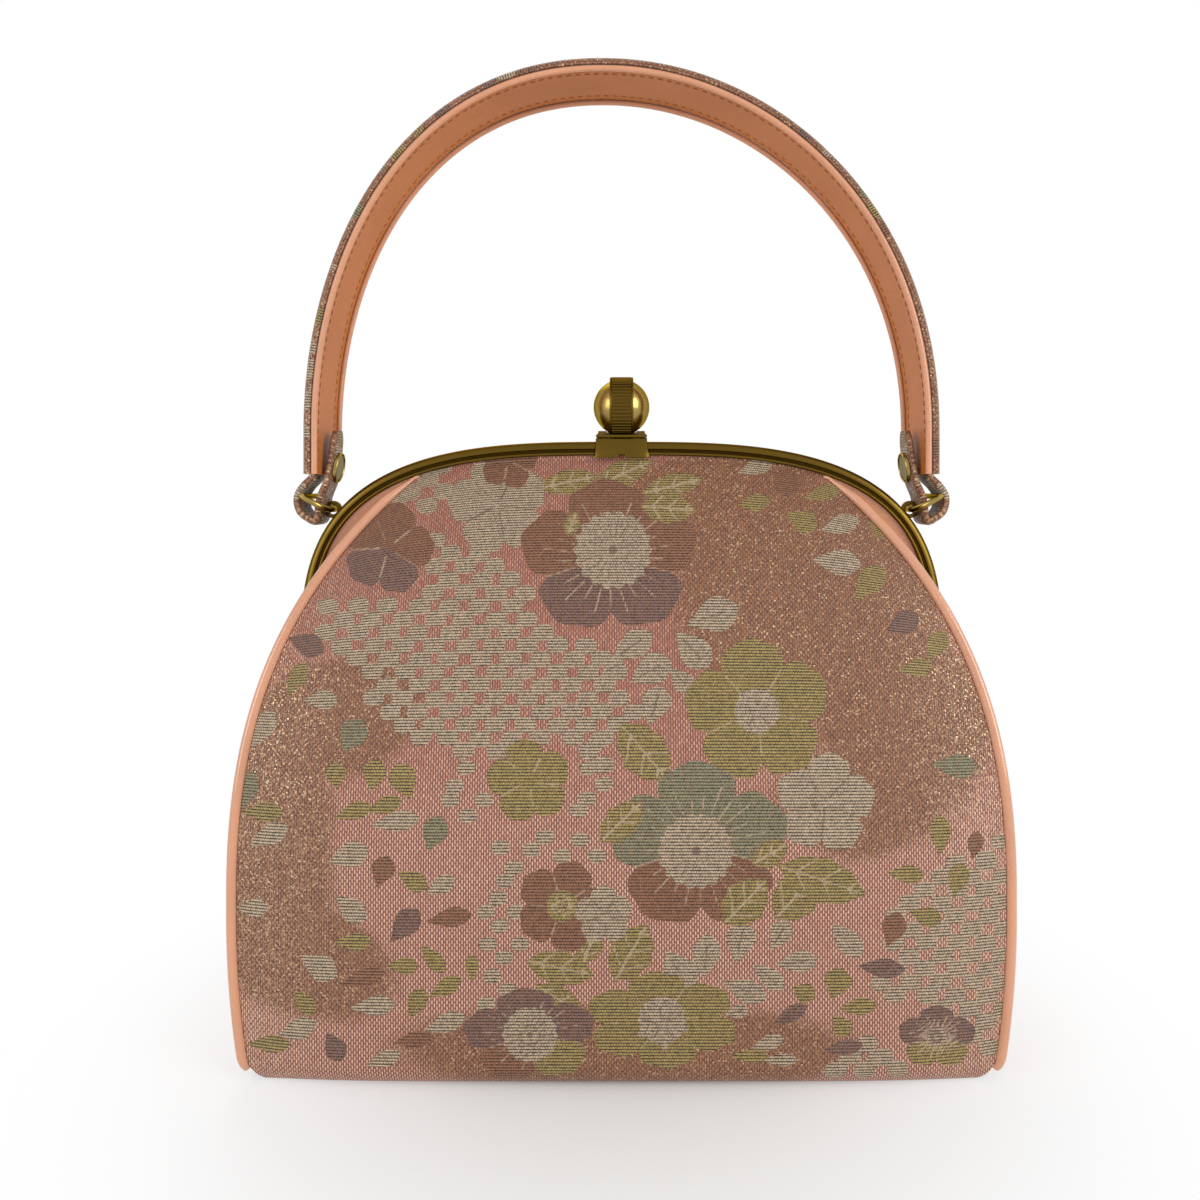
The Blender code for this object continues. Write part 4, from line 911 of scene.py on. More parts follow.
def swept(name, rings, finish, degrees, places=None):
    """A solid through rings of points, capped at both ends."""
    rings = np.asarray(rings, float)
    count, sides = rings.shape[:2]
    faces = quads(count, sides, wrap=True)
    faces.append(list(range(sides)))
    faces.append(list(range((count - 1) * sides, count * sides)))
    piece = built(name, rings, faces, finish)
    if places is not None:
        lay_map(piece.data, places.reshape(-1, 2))
    outward(piece.data)
    return smooth(piece, degrees)


def turned(name, stations, centre, finish, sides=72, degrees=35.0, axis=(1.0, 0.0, 0.0)):
    """A solid turned about a line: stations are (distance along it, radius)."""
    along = Vector(axis).normalized()
    first = along.orthogonal().normalized()
    second = along.cross(first)
    angles = np.arange(sides) / sides * FULL_TURN
    circle = np.outer(np.cos(angles), first) + np.outer(np.sin(angles), second)
    rings = [np.asarray(centre) + np.asarray(along) * step + circle * max(radius, 0.000001)
             for step, radius in stations]
    return swept(name, rings, finish, degrees)


def mirrored(piece, name, axis):
    """A copy of a piece on the other side of the bag: axis 0 is sideways, 1 is front to back."""
    mesh = piece.data.copy()
    points = points_of(mesh)
    points[:, axis] *= -1
    mesh.vertices.foreach_set("co", points.ravel())
    mesh.flip_normals()
    return add(name, mesh)


def cheeks(bm):
    """Two slanting cheeks and a hollow between them, pressed in the catch plate's front wall."""
    across, low, middle, wall, deep, hollow, near = 0.0075, 0.0010, 0.0027, 0.0050, 0.0007, 0.0004, 0.0001
    bottom = min(vertex.co.z for vertex in bm.verts)
    front = min(vertex.co.y for vertex in bm.verts)
    sideways, up = Vector((1, 0, 0)), Vector((0, 0, 1))
    cuts = ((sideways, across), (sideways, -across), (up, bottom + low), (up, bottom + middle))
    for normal, distance in cuts:
        parts = [*bm.verts, *bm.edges, *bm.faces]
        bmesh.ops.bisect_plane(bm, geom=parts, plane_co=normal * distance, plane_no=normal)
    for vertex in bm.verts:
        if vertex.co.y < front + near and vertex.co.z < bottom + wall:
            if abs(vertex.co.x) > across + 2 * near:
                vertex.co.y += deep
            elif abs(vertex.co.z - bottom - middle) < near:
                vertex.co.y += hollow


def bevelled_copy(name, node, finish, width, degrees=32.0, shape=None):
    """A packed node's own solid with its edges broken, as worn metal has."""
    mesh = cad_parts[node].data.copy()
    bm = bmesh.new()
    bm.from_mesh(mesh)
    bmesh.ops.remove_doubles(bm, verts=bm.verts, dist=0.00001)
    bmesh.ops.dissolve_limit(bm, angle_limit=math.radians(1.0), verts=bm.verts, edges=bm.edges)
    if shape:
        shape(bm)
    limit = math.radians(degrees)
    edges = [edge for edge in bm.edges if len(edge.link_faces) == 2 and edge.calc_face_angle(0.0) > limit]
    bmesh.ops.bevel(bm, geom=edges, offset=width, segments=2, profile=0.6, affect="EDGES", clamp_overlap=True)
    bmesh.ops.recalc_face_normals(bm, faces=bm.faces)
    bm.to_mesh(mesh)
    bm.free()
    return smooth(link(name, mesh, finish), 30.0)


# Geometry Nodes trees


class Growth(NodeMaker):
    """A Geometry Nodes tree under construction."""

    def __init__(self, name, inputs):
        self.tree = bpy.data.node_groups.new(name, "GeometryNodeTree")
        for label, kind in (("Geometry", "Geometry"), *inputs, ("Material", "Material")):
            self.tree.interface.new_socket(name=label, in_out="INPUT", socket_type="NodeSocket" + kind)
        self.tree.interface.new_socket(name="Geometry", in_out="OUTPUT", socket_type="NodeSocketGeometry")
        self.entry = self.tree.nodes.new("NodeGroupInput")

    def input(self, label):
        """One of the tree's named inputs."""
        return Value(self.entry.outputs[label])

    def finish(self, geometry):
        """End the tree in real geometry with its material."""
        real = self.node("GeometryNodeRealizeInstances", {0: geometry})
        painted = self.node("GeometryNodeSetMaterial",
                            {"Geometry": real, "Material": self.input("Material")})
        exit_node = self.tree.nodes.new("NodeGroupOutput")
        join(exit_node.inputs["Geometry"], painted)
        return self.tree


def cord_tree():
    """A round cord along a curve."""
    growth = Growth("cord_along_path", (("Radius", "Float"), ("Sides", "Int")))
    section = growth.node("GeometryNodeCurvePrimitiveCircle",
                          {"Resolution": growth.input("Sides"), "Radius": growth.input("Radius")})
    cord = growth.node("GeometryNodeCurveToMesh",
                       {"Curve": growth.input("Geometry"), "Profile Curve": section, "Fill Caps": True,
                        "Scale": growth.node("GeometryNodeInputRadius")})
    return growth.finish(growth.node("GeometryNodeSetShadeSmooth", {0: cord}))


def stitch_tree():
    """A row of stitches along a curve: each is a short round bead of thread."""
    growth = Growth("stitch_row", (("Pitch", "Float"), ("Length", "Float"), ("Thickness", "Float")))
    spots = growth.tree.nodes.new("GeometryNodeCurveToPoints")
    spots.mode = "LENGTH"
    join(spots.inputs["Curve"], growth.input("Geometry"))
    join(spots.inputs["Length"], growth.input("Pitch"))
    bead = growth.node("GeometryNodeMeshUVSphere", {"Segments": 8, "Rings": 6, "Radius": 0.5})
    thickness = growth.input("Thickness")
    size = growth.node("ShaderNodeCombineXYZ", {0: thickness, 1: thickness, 2: growth.input("Length")})
    row = growth.node("GeometryNodeInstanceOnPoints",
                      {"Points": Value(spots.outputs["Points"]), "Instance": bead,
                       "Rotation": Value(spots.outputs["Rotation"]), "Scale": size})
    real = growth.node("GeometryNodeRealizeInstances", {0: row})
    return growth.finish(growth.node("GeometryNodeSetShadeSmooth", {0: real}))


def knurl_tree():
    """Ridges round a wheel, added to the wheel's own core."""
    growth = Growth("knurled_rim", (("Count", "Int"), ("Radius", "Float"), ("Ridge", "Float"),
                                    ("Width", "Float"), ("Centre", "Vector")))
    rim = growth.node("GeometryNodeMeshCircle",
                      {"Vertices": growth.input("Count"), "Radius": growth.input("Radius")})
    ridge = growth.node("GeometryNodeMeshCylinder",
                        {"Vertices": 8, "Radius": growth.input("Ridge"), "Depth": growth.input("Width")})
    ring = growth.node("GeometryNodeInstanceOnPoints", {"Points": rim, "Instance": ridge})
    real = growth.node("GeometryNodeRealizeInstances", {0: ring})
    upright = growth.node("GeometryNodeTransform",
                          {"Geometry": real, "Translation": growth.input("Centre"),
                           "Rotation": (0.0, QUARTER_TURN, 0.0)})
    both = growth.tree.nodes.new("GeometryNodeJoinGeometry")
    join(both.inputs[0], growth.input("Geometry"))
    join(both.inputs[0], upright)
    return growth.finish(Value(both.outputs[0]))


TREES = {}


def tree(maker):
    """Each tree is built once."""
    if maker not in TREES:
        TREES[maker] = maker()
    return TREES[maker]


def grown(name, base, maker, inputs):
    """Run a tree on a base object, which it takes the place of, and return a plain mesh piece."""
    group = tree(maker)
    modifier = base.modifiers.new("Grow", "NODES")
    modifier.node_group = group
    for item in group.interface.items_tree:
        if item.in_out == "INPUT" and item.name in inputs:
            modifier[item.identifier] = inputs[item.name]
    bpy.context.view_layer.update()
    graph = bpy.context.evaluated_depsgraph_get()
    mesh = bpy.data.meshes.new_from_object(base.evaluated_get(graph))
    base.modifiers.remove(modifier)
    bpy.data.objects.remove(base, do_unlink=True)
    mesh.name = name
    return link(name, mesh, inputs["Material"])


def path_object(name, points, closed=False, shares=None):
    """A straight-sided curve through points, for a tree to work along; shares thin it."""
    curve = bpy.data.curves.new(name, "CURVE")
    curve.dimensions = "3D"
    spline = curve.splines.new("POLY")
    spline.points.add(len(points) - 1)
    if shares is None:
        shares = np.ones(len(points))
    for entry, point, share in zip(spline.points, points, shares):
        entry.co = (*point, 1.0)
        entry.radius = share
    spline.use_cyclic_u = closed
    return add(name + "_path", curve)


def cord(name, points, radius, finish, closed=False, shares=None):
    """A round cord through points."""
    piece = grown(name, path_object(name, points, closed, shares), cord_tree,
                  {"Radius": radius, "Sides": 16, "Material": finish})
    outward(piece.data)
    return smooth(piece, 60.0)


def stitches(name, points, pitch, finish):
    """A row of stitches along points."""
    return grown(name, path_object(name, points), stitch_tree,
                 {"Pitch": pitch, "Length": pitch * 0.62, "Thickness": 0.0005, "Material": finish})


# Shape of the body, the frame and the handle

CLOTH_INSERT = 0.0028
MOUTH_MARGIN = 0.0022
FRONT_TO_BACK = np.array([0.0, 1.0, 0.0])
HANDS = (("right", 1), ("left", -1))
CHANNEL_WALL = 0.0007
CHANNEL_CROWN = 0.0010
PANEL_LIFT = 0.0004
FOLLOW_EXPONENT = 3
ROLL_EXPONENT = 6
PIPING_RADIUS = 0.0017
PIPING_SETBACK = 0.0008
PIPING_END = 0.0014
PIPING_THIN_FROM = 0.0092
BAND_THICKNESS = 0.0008
GUSSET_THICKNESS = 0.0011
FRONT_CLOTH = "front cloth"


def arch_height(x):
    """Height of the frame's outer line at distances from the middle."""
    sizes = frame_sizes()
    share = np.clip(np.abs(x) / sizes.half_width, 0, 1) ** sizes.exponent
    return sizes.foot + sizes.rise * (1 - share) ** (1 / sizes.exponent)


def bow(angles, half_width, rise, exponent):
    """Points on a superellipse and their outward directions; angles run from its left foot."""
    cosine, sine = np.cos(angles), np.sin(angles)
    x = -np.sign(cosine) * np.abs(cosine) ** (2 / exponent) * half_width
    z = np.abs(sine) ** (2 / exponent) * rise
    slope_x = np.sign(x) * np.abs(x / half_width) ** (exponent - 1) / half_width
    slope_z = np.abs(z / rise) ** (exponent - 1) / rise
    level = np.zeros_like(x)
    return np.stack([x, level, z], -1), unit(np.stack([slope_x, level, slope_z], -1))


def arch_points(angles, inset):
    """Points on the frame's arch, moved in by an inset, and their outward directions."""
    sizes = frame_sizes()
    points, out = bow(angles, sizes.half_width, sizes.rise, sizes.exponent)
    return points + (0.0, 0.0, sizes.foot) - out * inset, out


def arch_angle_at_height(height):
    """The arch's angle, near the left foot, at a height."""
    sizes = frame_sizes()
    return math.asin(((height - sizes.foot) / sizes.rise) ** (sizes.exponent / 2))


def arch_angle_at_x(x):
    """The arch's angle on the left at a distance from the middle."""
    sizes = frame_sizes()
    return math.acos((x / sizes.half_width) ** (sizes.exponent / 2))


def frame_face():
    """Distance of a frame half's outer face from the bag's middle plane."""
    sizes = frame_sizes()
    return sizes.gap + sizes.channel_width


def cloth_face():
    """Distance of the cloth inside the channel from the bag's middle plane."""
    return frame_face() - CHANNEL_WALL - frame_sizes().gap


def panel_top():
    """Height of the brocade's top edge, inside the channel."""
    return float(arch_height(body_sizes().top_half_width)) - frame_sizes().channel_depth + CLOTH_INSERT


def panel_mouth():
    """Height at which the cloth goes into the channel."""
    return panel_top() - CLOTH_INSERT - MOUTH_MARGIN


def half_width(height):
    """Half-width of the brocade at heights."""
    sizes = body_sizes()
    height = np.asarray(height, float)
    upper = np.clip((height - sizes.widest_height) / (panel_top() - sizes.widest_height), 0, None)
    lower = np.clip((sizes.widest_height - height) / sizes.widest_height, 0, 1)
    width = sizes.half_width - (sizes.half_width - sizes.top_half_width) * upper ** sizes.shoulder_exponent
    width = width - sizes.foot_taper * lower ** 2
    lack = np.clip(sizes.corner_radius - height, 0, sizes.corner_radius)
    return width - (sizes.corner_radius - np.sqrt(sizes.corner_radius ** 2 - lack ** 2))


def half_depth(height):
    """Depth of the brocade's outer face at its middle."""
    sizes = body_sizes()
    share = np.clip((height - sizes.straight_height) / (panel_mouth() - sizes.straight_height), 0, 1)
    return cloth_face() + (sizes.half_depth - cloth_face()) * (1 - share ** sizes.lean_exponent)


def edge_depth(height):
    """Depth of the brocade's outer face at its side edges."""
    sizes = body_sizes()
    depth = half_depth(height)
    return depth - sizes.edge_roll * (depth - cloth_face()) / (sizes.half_depth - cloth_face())


def turned_back(height):
    """How far the body's round lower edge has turned back from its upright face at heights."""
    radius = body_sizes().base_radius
    lack = np.clip(PANEL_LIFT + radius - height, 0, radius)
    return radius - np.sqrt(radius ** 2 - lack ** 2)


def side_normal(height):
    """Outward direction of the panel's side outline, on the right."""
    step = 0.0002
    slope = (half_width(height + step) - half_width(height - step)) / (step + step)
    return unit(np.stack([np.ones_like(slope), np.zeros_like(slope), -slope], -1))


def cut_height(x):
    """The arch's height where the cloth follows it, kept level under the arch's steep arms."""
    limit, soft = 0.104, 0.008
    near = 0.5 * (np.abs(x) + limit - np.sqrt((np.abs(x) - limit) ** 2 + soft ** 2))
    return arch_height(near)


def panel_grid(across, heights, depth_inset, width_inset=0.0):
    """Points of the front panel for shares across and heights, moved inward where asked."""
    u, z = np.meshgrid(across, heights)
    reach = half_width(z) - width_inset
    x = u * reach
    centre = half_depth(z)
    roll = (centre - edge_depth(z)) * np.abs(u) ** ROLL_EXPONENT
    straight = body_sizes().straight_height
    follow = np.clip((z - straight) / (panel_top() - straight), 0, None) ** FOLLOW_EXPONENT
    rise = (cut_height(x) - cut_height(reach)) * follow
    return np.stack([x, -(centre - roll - depth_inset), z + rise], -1)


def turned_under_grid(across, turns, depth_inset):
    """Points of the round lower edge, from under the base up to the front."""
    sizes = body_sizes()
    u, turn = np.meshgrid(across, turns)
    radius = sizes.base_radius - depth_inset
    z = PANEL_LIFT + sizes.base_radius - radius * np.cos(turn)
    reach = half_width(np.maximum(z, PANEL_LIFT + frame_sizes().gap))
    roll = sizes.edge_roll * np.abs(u) ** ROLL_EXPONENT * np.sin(turn)
    depth = sizes.half_depth - sizes.base_radius + radius * np.sin(turn) - roll
    return np.stack([u * reach, -depth, z], -1)


PANEL_COLUMNS = 340
PANEL_ROWS = 264
FOOT_ROWS = 12
PANEL_STEP = 4


def panel_sides():
    """The brocade panel's outer and inner faces."""
    across = np.linspace(-1, 1, PANEL_COLUMNS + 1)
    turns = np.linspace(0, QUARTER_TURN, FOOT_ROWS + 1)[:-1]
    foot = PANEL_LIFT + body_sizes().base_radius
    heights = np.append(np.linspace(foot, panel_mouth(), PANEL_ROWS - FOOT_ROWS - 3),
                        np.linspace(panel_mouth(), panel_top(), 5)[1:])
    return [np.concatenate([turned_under_grid(across, turns, inset), panel_grid(across, heights, inset)])
            for inset in (0.0, body_sizes().cloth_thickness)]


def fit(piece, node, body):
    """Let a piece stand for a packed node, if it has one, take a finish and move with a body."""
    if node:
        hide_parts(node)
    if body == FRONT_CLOTH:
        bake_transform(piece)
    else:
        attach(piece, body)


def make_brocade():
    """Front and rear brocade; the rear has the front's figures the other way round."""
    outer, inner = panel_sides()
    places = cloth_map(outer)
    front = two_sided("front_brocade", outer, inner, material("brocade"), material("lining"), PANEL_STEP,
                      places)
    across, down = photo_place(points_of(front.data))
    rear = mirrored(front, "rear_brocade", 1)
    front_figures(across, down).keep(front.data, FIGURE_SCALE)
    front_figures(PHOTO_AXIS[0] * 2 - across, down).keep(rear.data, FIGURE_SCALE)
    fit(front, "front_panel", FRONT_CLOTH)
    fit(rear, "rear_panel", "bag")


def rounded_slab(name, half_x, half_y, low, high, radius, finish):
    """A thin plate with round corners and softened edges."""
    edge, points = 0.0004, 9
    angles = np.concatenate([QUARTER_TURN * quarter + np.linspace(0, QUARTER_TURN, points)
                             for quarter in range(4)])
    signs = np.repeat([(1, 1), (-1, 1), (-1, -1), (1, -1)], points, axis=0)

    def outline(pull, height):
        x = signs[:, 0] * (half_x - radius) + np.cos(angles) * (radius - pull)
        y = signs[:, 1] * (half_y - radius) + np.sin(angles) * (radius - pull)
        return np.stack([x, y, np.full_like(x, height)], -1)

    rings = [outline(edge, low), outline(0, low + edge), outline(0, high - edge), outline(edge, high)]
    piece = swept(name, rings, finish, 50.0)
    lay_map(piece.data, np.concatenate(rings)[:, :2] / MM)
    return piece


def make_base_cloth():
    """The cloth-covered plate that the bag stands on."""
    low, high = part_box("base_panel")
    corner = body_sizes().corner_radius
    u, v = np.meshgrid(np.linspace(-1, 1, 181), np.linspace(-1, 1, 91))
    corner_x = np.clip(np.abs(u) * high.x - (high.x - corner), 0, corner)
    corner_y = np.clip(np.abs(v) * high.y - (high.y - corner), 0, corner)
    shrink = np.where((corner_x > 0) & (corner_y > 0),
                      np.maximum(corner_x, corner_y) / np.maximum(np.hypot(corner_x, corner_y), 1e-9), 1.0)
    x = np.sign(u) * (np.minimum(np.abs(u) * high.x, high.x - corner) + corner_x * shrink)
    y = np.sign(v) * (np.minimum(np.abs(v) * high.y, high.y - corner) + corner_y * shrink)
    outer, inner = [np.stack([x, y, np.full_like(x, height)], -1) for height in (low.z, high.z)]
    base = two_sided("base_cloth", outer, inner, material("brocade"), material("lining"), 3)
    x, y = points_of(base.data).T[:2] / MM * BASE_PIXELS_PER_MM
    front_figures(BASE_FIGURES_AT[0] + x, BASE_FIGURES_AT[1] + y).keep(base.data, FIGURE_SCALE)
    fit(base, "base_panel", "bag")


def make_lining():
    """Satin over the stiff boards and up the inside of both panels."""
    near, behind_board, above_board, side = 0.0013, 0.0034, 0.0021, 0.0016
    lift, fade_below, fade_length = 0.001, 0.012, 0.02
    across = np.linspace(-1, 1, 81)
    heights = np.linspace(PANEL_LIFT + body_sizes().base_radius + lift, panel_mouth(), 91)
    fade = np.clip((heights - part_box("front_board")[1].z + fade_below) / fade_length, 0, 1)
    fade = (fade * fade * (3 - 2 * fade))[:, None, None]
    outer, low_face, high_face = [panel_grid(across, heights, depth, side)
                                  for depth in (near, behind_board, above_board)]
    inner = low_face * (1 - fade) + high_face * fade
    front = two_sided("front_lining", outer, inner, material("lining"), material("lining"))
    rear = mirrored(front, "rear_lining", 1)
    fit(front, "front_board", FRONT_CLOTH)
    fit(rear, "rear_board", "bag")
    low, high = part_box("base_board")
    base = rounded_slab("base_lining", high.x, high.y, low.z, high.z, body_sizes().corner_radius,
                        material("lining"))
    fit(base, "base_board", "bag")


def gusset_grid(inset):
    """The right-hand side wall: flat below, with a soft inward fold towards the hinge."""
    overlap, seam, fold_from, fold_depth, ripple_depth = 0.0012, 0.0003, 0.035, 0.0076, 0.0006
    low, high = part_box("right_gusset")
    u, z = np.meshgrid(np.linspace(-1, 1, 41), np.linspace(low.z, high.z + overlap, 91))
    reach = edge_depth(z) - PIPING_SETBACK - PIPING_RADIUS - seam - turned_back(z)
    climb = np.clip((z - fold_from) / (high.z - fold_from), 0, 1) ** 1.6
    fold = fold_depth * climb * (1 - np.abs(u) ** 1.2) ** 1.2
    ripple = ripple_depth * climb * np.cos(u * math.pi * 3) * (1 - u ** 2)
    x = half_width(z) + frame_sizes().gap + overlap - fold - ripple - inset
    return np.stack([x, u * reach, z], -1)


def make_gussets():
    """The vinyl side walls, with the fold that lets the mouth open."""
    right = two_sided("gusset_right", gusset_grid(0.0), gusset_grid(GUSSET_THICKNESS), material("vinyl"),
                      material("lining"))
    left = mirrored(right, "gusset_left", 0)
    for piece, node in ((right, "right_gusset"), (left, "left_gusset")):
        fit(piece, node, "bag")


def piping_share(heights):
    """The share of its full radius that the body's piping keeps as it thins towards the mouth."""
    thinned = np.clip((heights - panel_mouth() + PIPING_THIN_FROM) / (PIPING_THIN_FROM - PIPING_END), 0, 1)
    return 1 - 0.68 * thinned


def band_grid(inset=0.0):
    """The right-hand vinyl strip between the front piping and the frame's arm."""
    sizes = frame_sizes()
    foot, margin, drop, thickness, seam, crown = 0.1205, 0.0070, 0.0012, 0.0009, 0.0001, 0.0006
    steps = 71
    top_angle = arch_angle_at_x(body_sizes().top_half_width + margin)
    angles = np.linspace(arch_angle_at_height(foot), top_angle, steps)
    lip, out = arch_points(angles, sizes.channel_depth + sizes.gap + thickness)
    tip = arch_points(angles, sizes.channel_depth - CLOTH_INSERT + thickness)[0]
    heights = np.linspace(foot, panel_mouth() - drop, steps)
    normal = side_normal(heights) * (-1, 1, 1)
    setback = PIPING_SETBACK + PIPING_RADIUS * piping_share(heights) + seam
    reach = np.maximum(edge_depth(heights) - setback, cloth_face())
    edge = np.stack([-half_width(heights), -reach, heights], -1) + normal * sizes.gap + out * thickness
    lip[:, 1] = -cloth_face()
    tip[:, 1] = -cloth_face()
    shares = np.linspace(0, 1, 9)[None, :, None]
    span = edge[:, None] * (1 - shares) + lip[:, None] * shares
    span += np.sin(math.pi * shares) * crown * out[:, None]
    grid = np.concatenate([span, tip[:, None]], axis=1)
    if inset:
        down = normals_of(grid)
        down *= np.sign((down * out[:, None]).sum(-1, keepdims=True).mean())
        grid = grid - down * inset
        grid[:, -2:, 1] = np.maximum(grid[:, -2:, 1], -(cloth_face() - inset))
    return grid * (-1, 1, 1)


def piping_path():
    """The middle line of the front right-hand piping and its share of the full radius."""
    foot = 0.004
    heights = np.linspace(foot, panel_mouth() - PIPING_END, 131)
    shares = piping_share(heights)
    depths = edge_depth(heights) - PIPING_SETBACK - turned_back(heights)
    away = side_normal(np.maximum(heights, body_sizes().widest_height))
    out = PIPING_RADIUS * shares + frame_sizes().gap * 0.2
    return np.stack([half_width(heights), -depths, heights], -1) + away * out[:, None], shares


def make_vinyl():
    """Bands beside the frame's arms and the piping down the body's edges."""
    band = two_sided("front_band_vinyl_right", band_grid(), band_grid(BAND_THICKNESS), material("vinyl"),
                     material("vinyl"))
    path, shares = piping_path()
    pieces = {
        ("front", "right"): band,
        ("front", "left"): mirrored(band, "front_band_vinyl_left", 0),
        ("rear", "right"): mirrored(band, "rear_band_vinyl_right", 1),
    }
    pieces["rear", "left"] = mirrored(pieces["front", "left"], "rear_band_vinyl_left", 1)
    for (end, side), piece in pieces.items():
        signs = (1 if side == "right" else -1, 1 if end == "front" else -1, 1)
        piping = cord(end + "_piping_cord_" + side, path * signs, PIPING_RADIUS, material("piping"),
                      shares=shares)
        body = FRONT_CLOTH if end == "front" else "bag"
        fit(piece, end + "_band_" + side, body)
        fit(piping, end + "_piping_" + side, body)


# The brass frame and its clasp


def channel_section():
    """The folded section of one frame half: (depth front to back, inset from the arch)."""
    sizes = frame_sizes()
    near, far, deep = sizes.gap, frame_face(), sizes.channel_depth
    wall, crown, bevel, groove, bead_height = CHANNEL_WALL, CHANNEL_CROWN, 0.0021, 0.00055, 0.0010
    low = deep - wall - bead_height
    section = [(near, deep), (near, wall), (near + wall * 0.3, wall * 0.3), (near + wall, 0.0)]
    section += [(far - bevel + bevel * math.sin(angle), bevel - bevel * math.cos(angle))
                for angle in arc(5, QUARTER_TURN)]
    section += [(far, low - groove), (far - groove * 0.8, low - groove * 0.5), (far - groove, low),
                (far - groove * 0.6, low + groove * 0.6)]
    bead = (deep - low - groove) / 2
    section += [(far - groove * 0.3 + math.sin(angle) * groove, low + groove + bead - bead * math.cos(angle))
                for angle in arc(5, math.pi)]
    section += [(far - wall, deep), (far - wall, crown), (near + wall, crown), (near + wall, deep)]
    return section


def make_frame_halves():
    """The two channels, swept along the arch, each with its two hinge ears."""
    start = arch_angle_at_height(frame_sizes().channel_end)
    angles = np.linspace(start, math.pi - start, 181)
    section = channel_section()
    for name, side, node, body in (("front_channel", -1, "front_frame", "front_half"),
                                   ("rear_channel", 1, "rear_frame", "bag")):
        rings = np.empty((len(angles), len(section), 3))
        for index, (depth, inset) in enumerate(section):
            rings[:, index] = arch_points(angles, inset)[0]
            rings[:, index, 1] = side * depth
        channel = swept(name, rings, material("brass"), 42.0)
        fit(channel, node, body)
        for sign, hand in ((-1, "left"), (1, "right")):
            ear = make_hinge_ear(name.replace("channel", "ear_") + hand, sign, side)
            fit(ear, None, body)


def make_hinge_ear(name, sign, side):
    """A flat round ear under an arm's foot, with its neck up inside the channel."""
    sizes = frame_sizes()
    radius, thickness, neck, overlap, set_back = 0.0050, 0.0011, 0.012, 0.0003, 0.0018
    inner = sizes.half_width - CHANNEL_CROWN + overlap - thickness
    if side > 0:
        inner += thickness + sizes.gap
    near, far = sizes.gap + CHANNEL_WALL / 2, frame_face() - set_back
    start = math.acos(near / radius)
    turn = FULL_TURN - start + math.acos(far / radius)
    rim = [(math.cos(start + angle) * radius, math.sin(start + angle) * radius) for angle in arc(30, turn)]
    rim += [(far, neck), (near, neck)]
    rings = [[(sign * x, side * depth, sizes.hinge_height + rise) for depth, rise in rim]
             for x in (inner, inner + thickness)]
    return swept(name, rings, material("brass"), 30.0)


def make_clasp():
    """Half balls, knurled wheel, saddle, catch plate and bracket."""
    sizes = clasp_sizes()
    radius, half = sizes.ball_radius, sizes.wheel_half_width
    clearance, tip, rim, deep = 0.00002, 0.00003, 0.0007, 0.0003
    centre = (0.0, 0.0, frame_sizes().foot + frame_sizes().rise + sizes.ball_rise)
    pieces = []
    angles = np.linspace(math.asin((half + clearance) / radius), math.asin((radius - tip) / radius), 22)
    for side, sign in HANDS:
        stations = [(sign * (math.sin(angle) * radius), math.cos(angle) * radius) for angle in angles]
        ball = turned("half_ball_" + side, stations, centre, material("bright"), degrees=40.0)
        pieces.append((ball, "knob_ball_" + side, "clasp"))

    knurled = half - rim
    root = sizes.wheel_radius - deep
    stations = [(-half, root - deep)]
    for low, high in ((-half, -knurled), (knurled, half)):
        stations += [(low + (high - low) * (1 - math.cos(angle)) / 2, root + deep * math.sin(angle) * 1.1)
                     for angle in arc(6, math.pi)]
    stations.append((half, root - deep))
    core = turned("wheel_core", stations, centre, material("brass"), sides=96, degrees=50.0)
    pitch = FULL_TURN * root / sizes.knurl_count
    wheel = grown("knurled_wheel", core, knurl_tree,
                  {"Count": sizes.knurl_count, "Radius": root - pitch * 0.12, "Ridge": pitch * 0.42,
                   "Width": knurled * 2, "Centre": centre, "Material": material("brass")})
    smooth(wheel, 30.0)
    pieces.append((wheel, "knob_wheel", "clasp"))

    for name, node, body, width, shape in (("saddle_plate", "clasp_saddle", "clasp", 0.00018, None),
                                           ("catch_plate", "front_catch", "front_half", 0.00016, cheeks),
                                           ("pin_bracket", "clasp_bracket", "bag", 0.00012, None)):
        plate = bevelled_copy(name, node, material("worn" if body == "clasp" else "brass"), width,
                              degrees=8.0 if shape else 32.0, shape=shape)
        pieces.append((plate, node, body))
    for piece, node, body in pieces:
        fit(piece, node, body)


# The handle


def handle_stations():
    """Points on the handle's outer face and outward directions, from the left foot to the right."""
    sizes = handle_sizes()
    rise, leg_steps, bow_steps = sizes.top - sizes.spring, 8, 75
    points, outs = bow(np.linspace(0, QUARTER_TURN, bow_steps + 1), sizes.half_width, rise, sizes.exponent)
    leg = np.linspace(sizes.foot - sizes.spring, 0, leg_steps + 1)[:-1, None] * (0.0, 0.0, 1.0)
    left = np.concatenate([leg + points[0], points]) + (0.0, 0.0, sizes.spring)
    left_out = np.concatenate([np.repeat(outs[:1], leg_steps, axis=0), outs])
    points = np.concatenate([left, left[-2::-1] * (-1, 1, 1)])
    outs = np.concatenate([left_out, left_out[-2::-1] * (-1, 1, 1)])
    share = np.clip((points[:, 2] - sizes.spring) / rise, 0, None)
    points[:, 0] -= sizes.lean * share ** sizes.lean_exponent
    return points, outs


def handle_middle():
    """Distance of the handle's middle from the bag's middle plane: it hangs on the rear half."""
    return frame_sizes().gap + frame_sizes().channel_width / 2


def along_handle(across, below, stations=None):
    """A line along the handle at a distance across it and below its outer face."""
    points, outs = stations or handle_stations()
    return points - outs * below + (0, handle_middle() + across, 0)


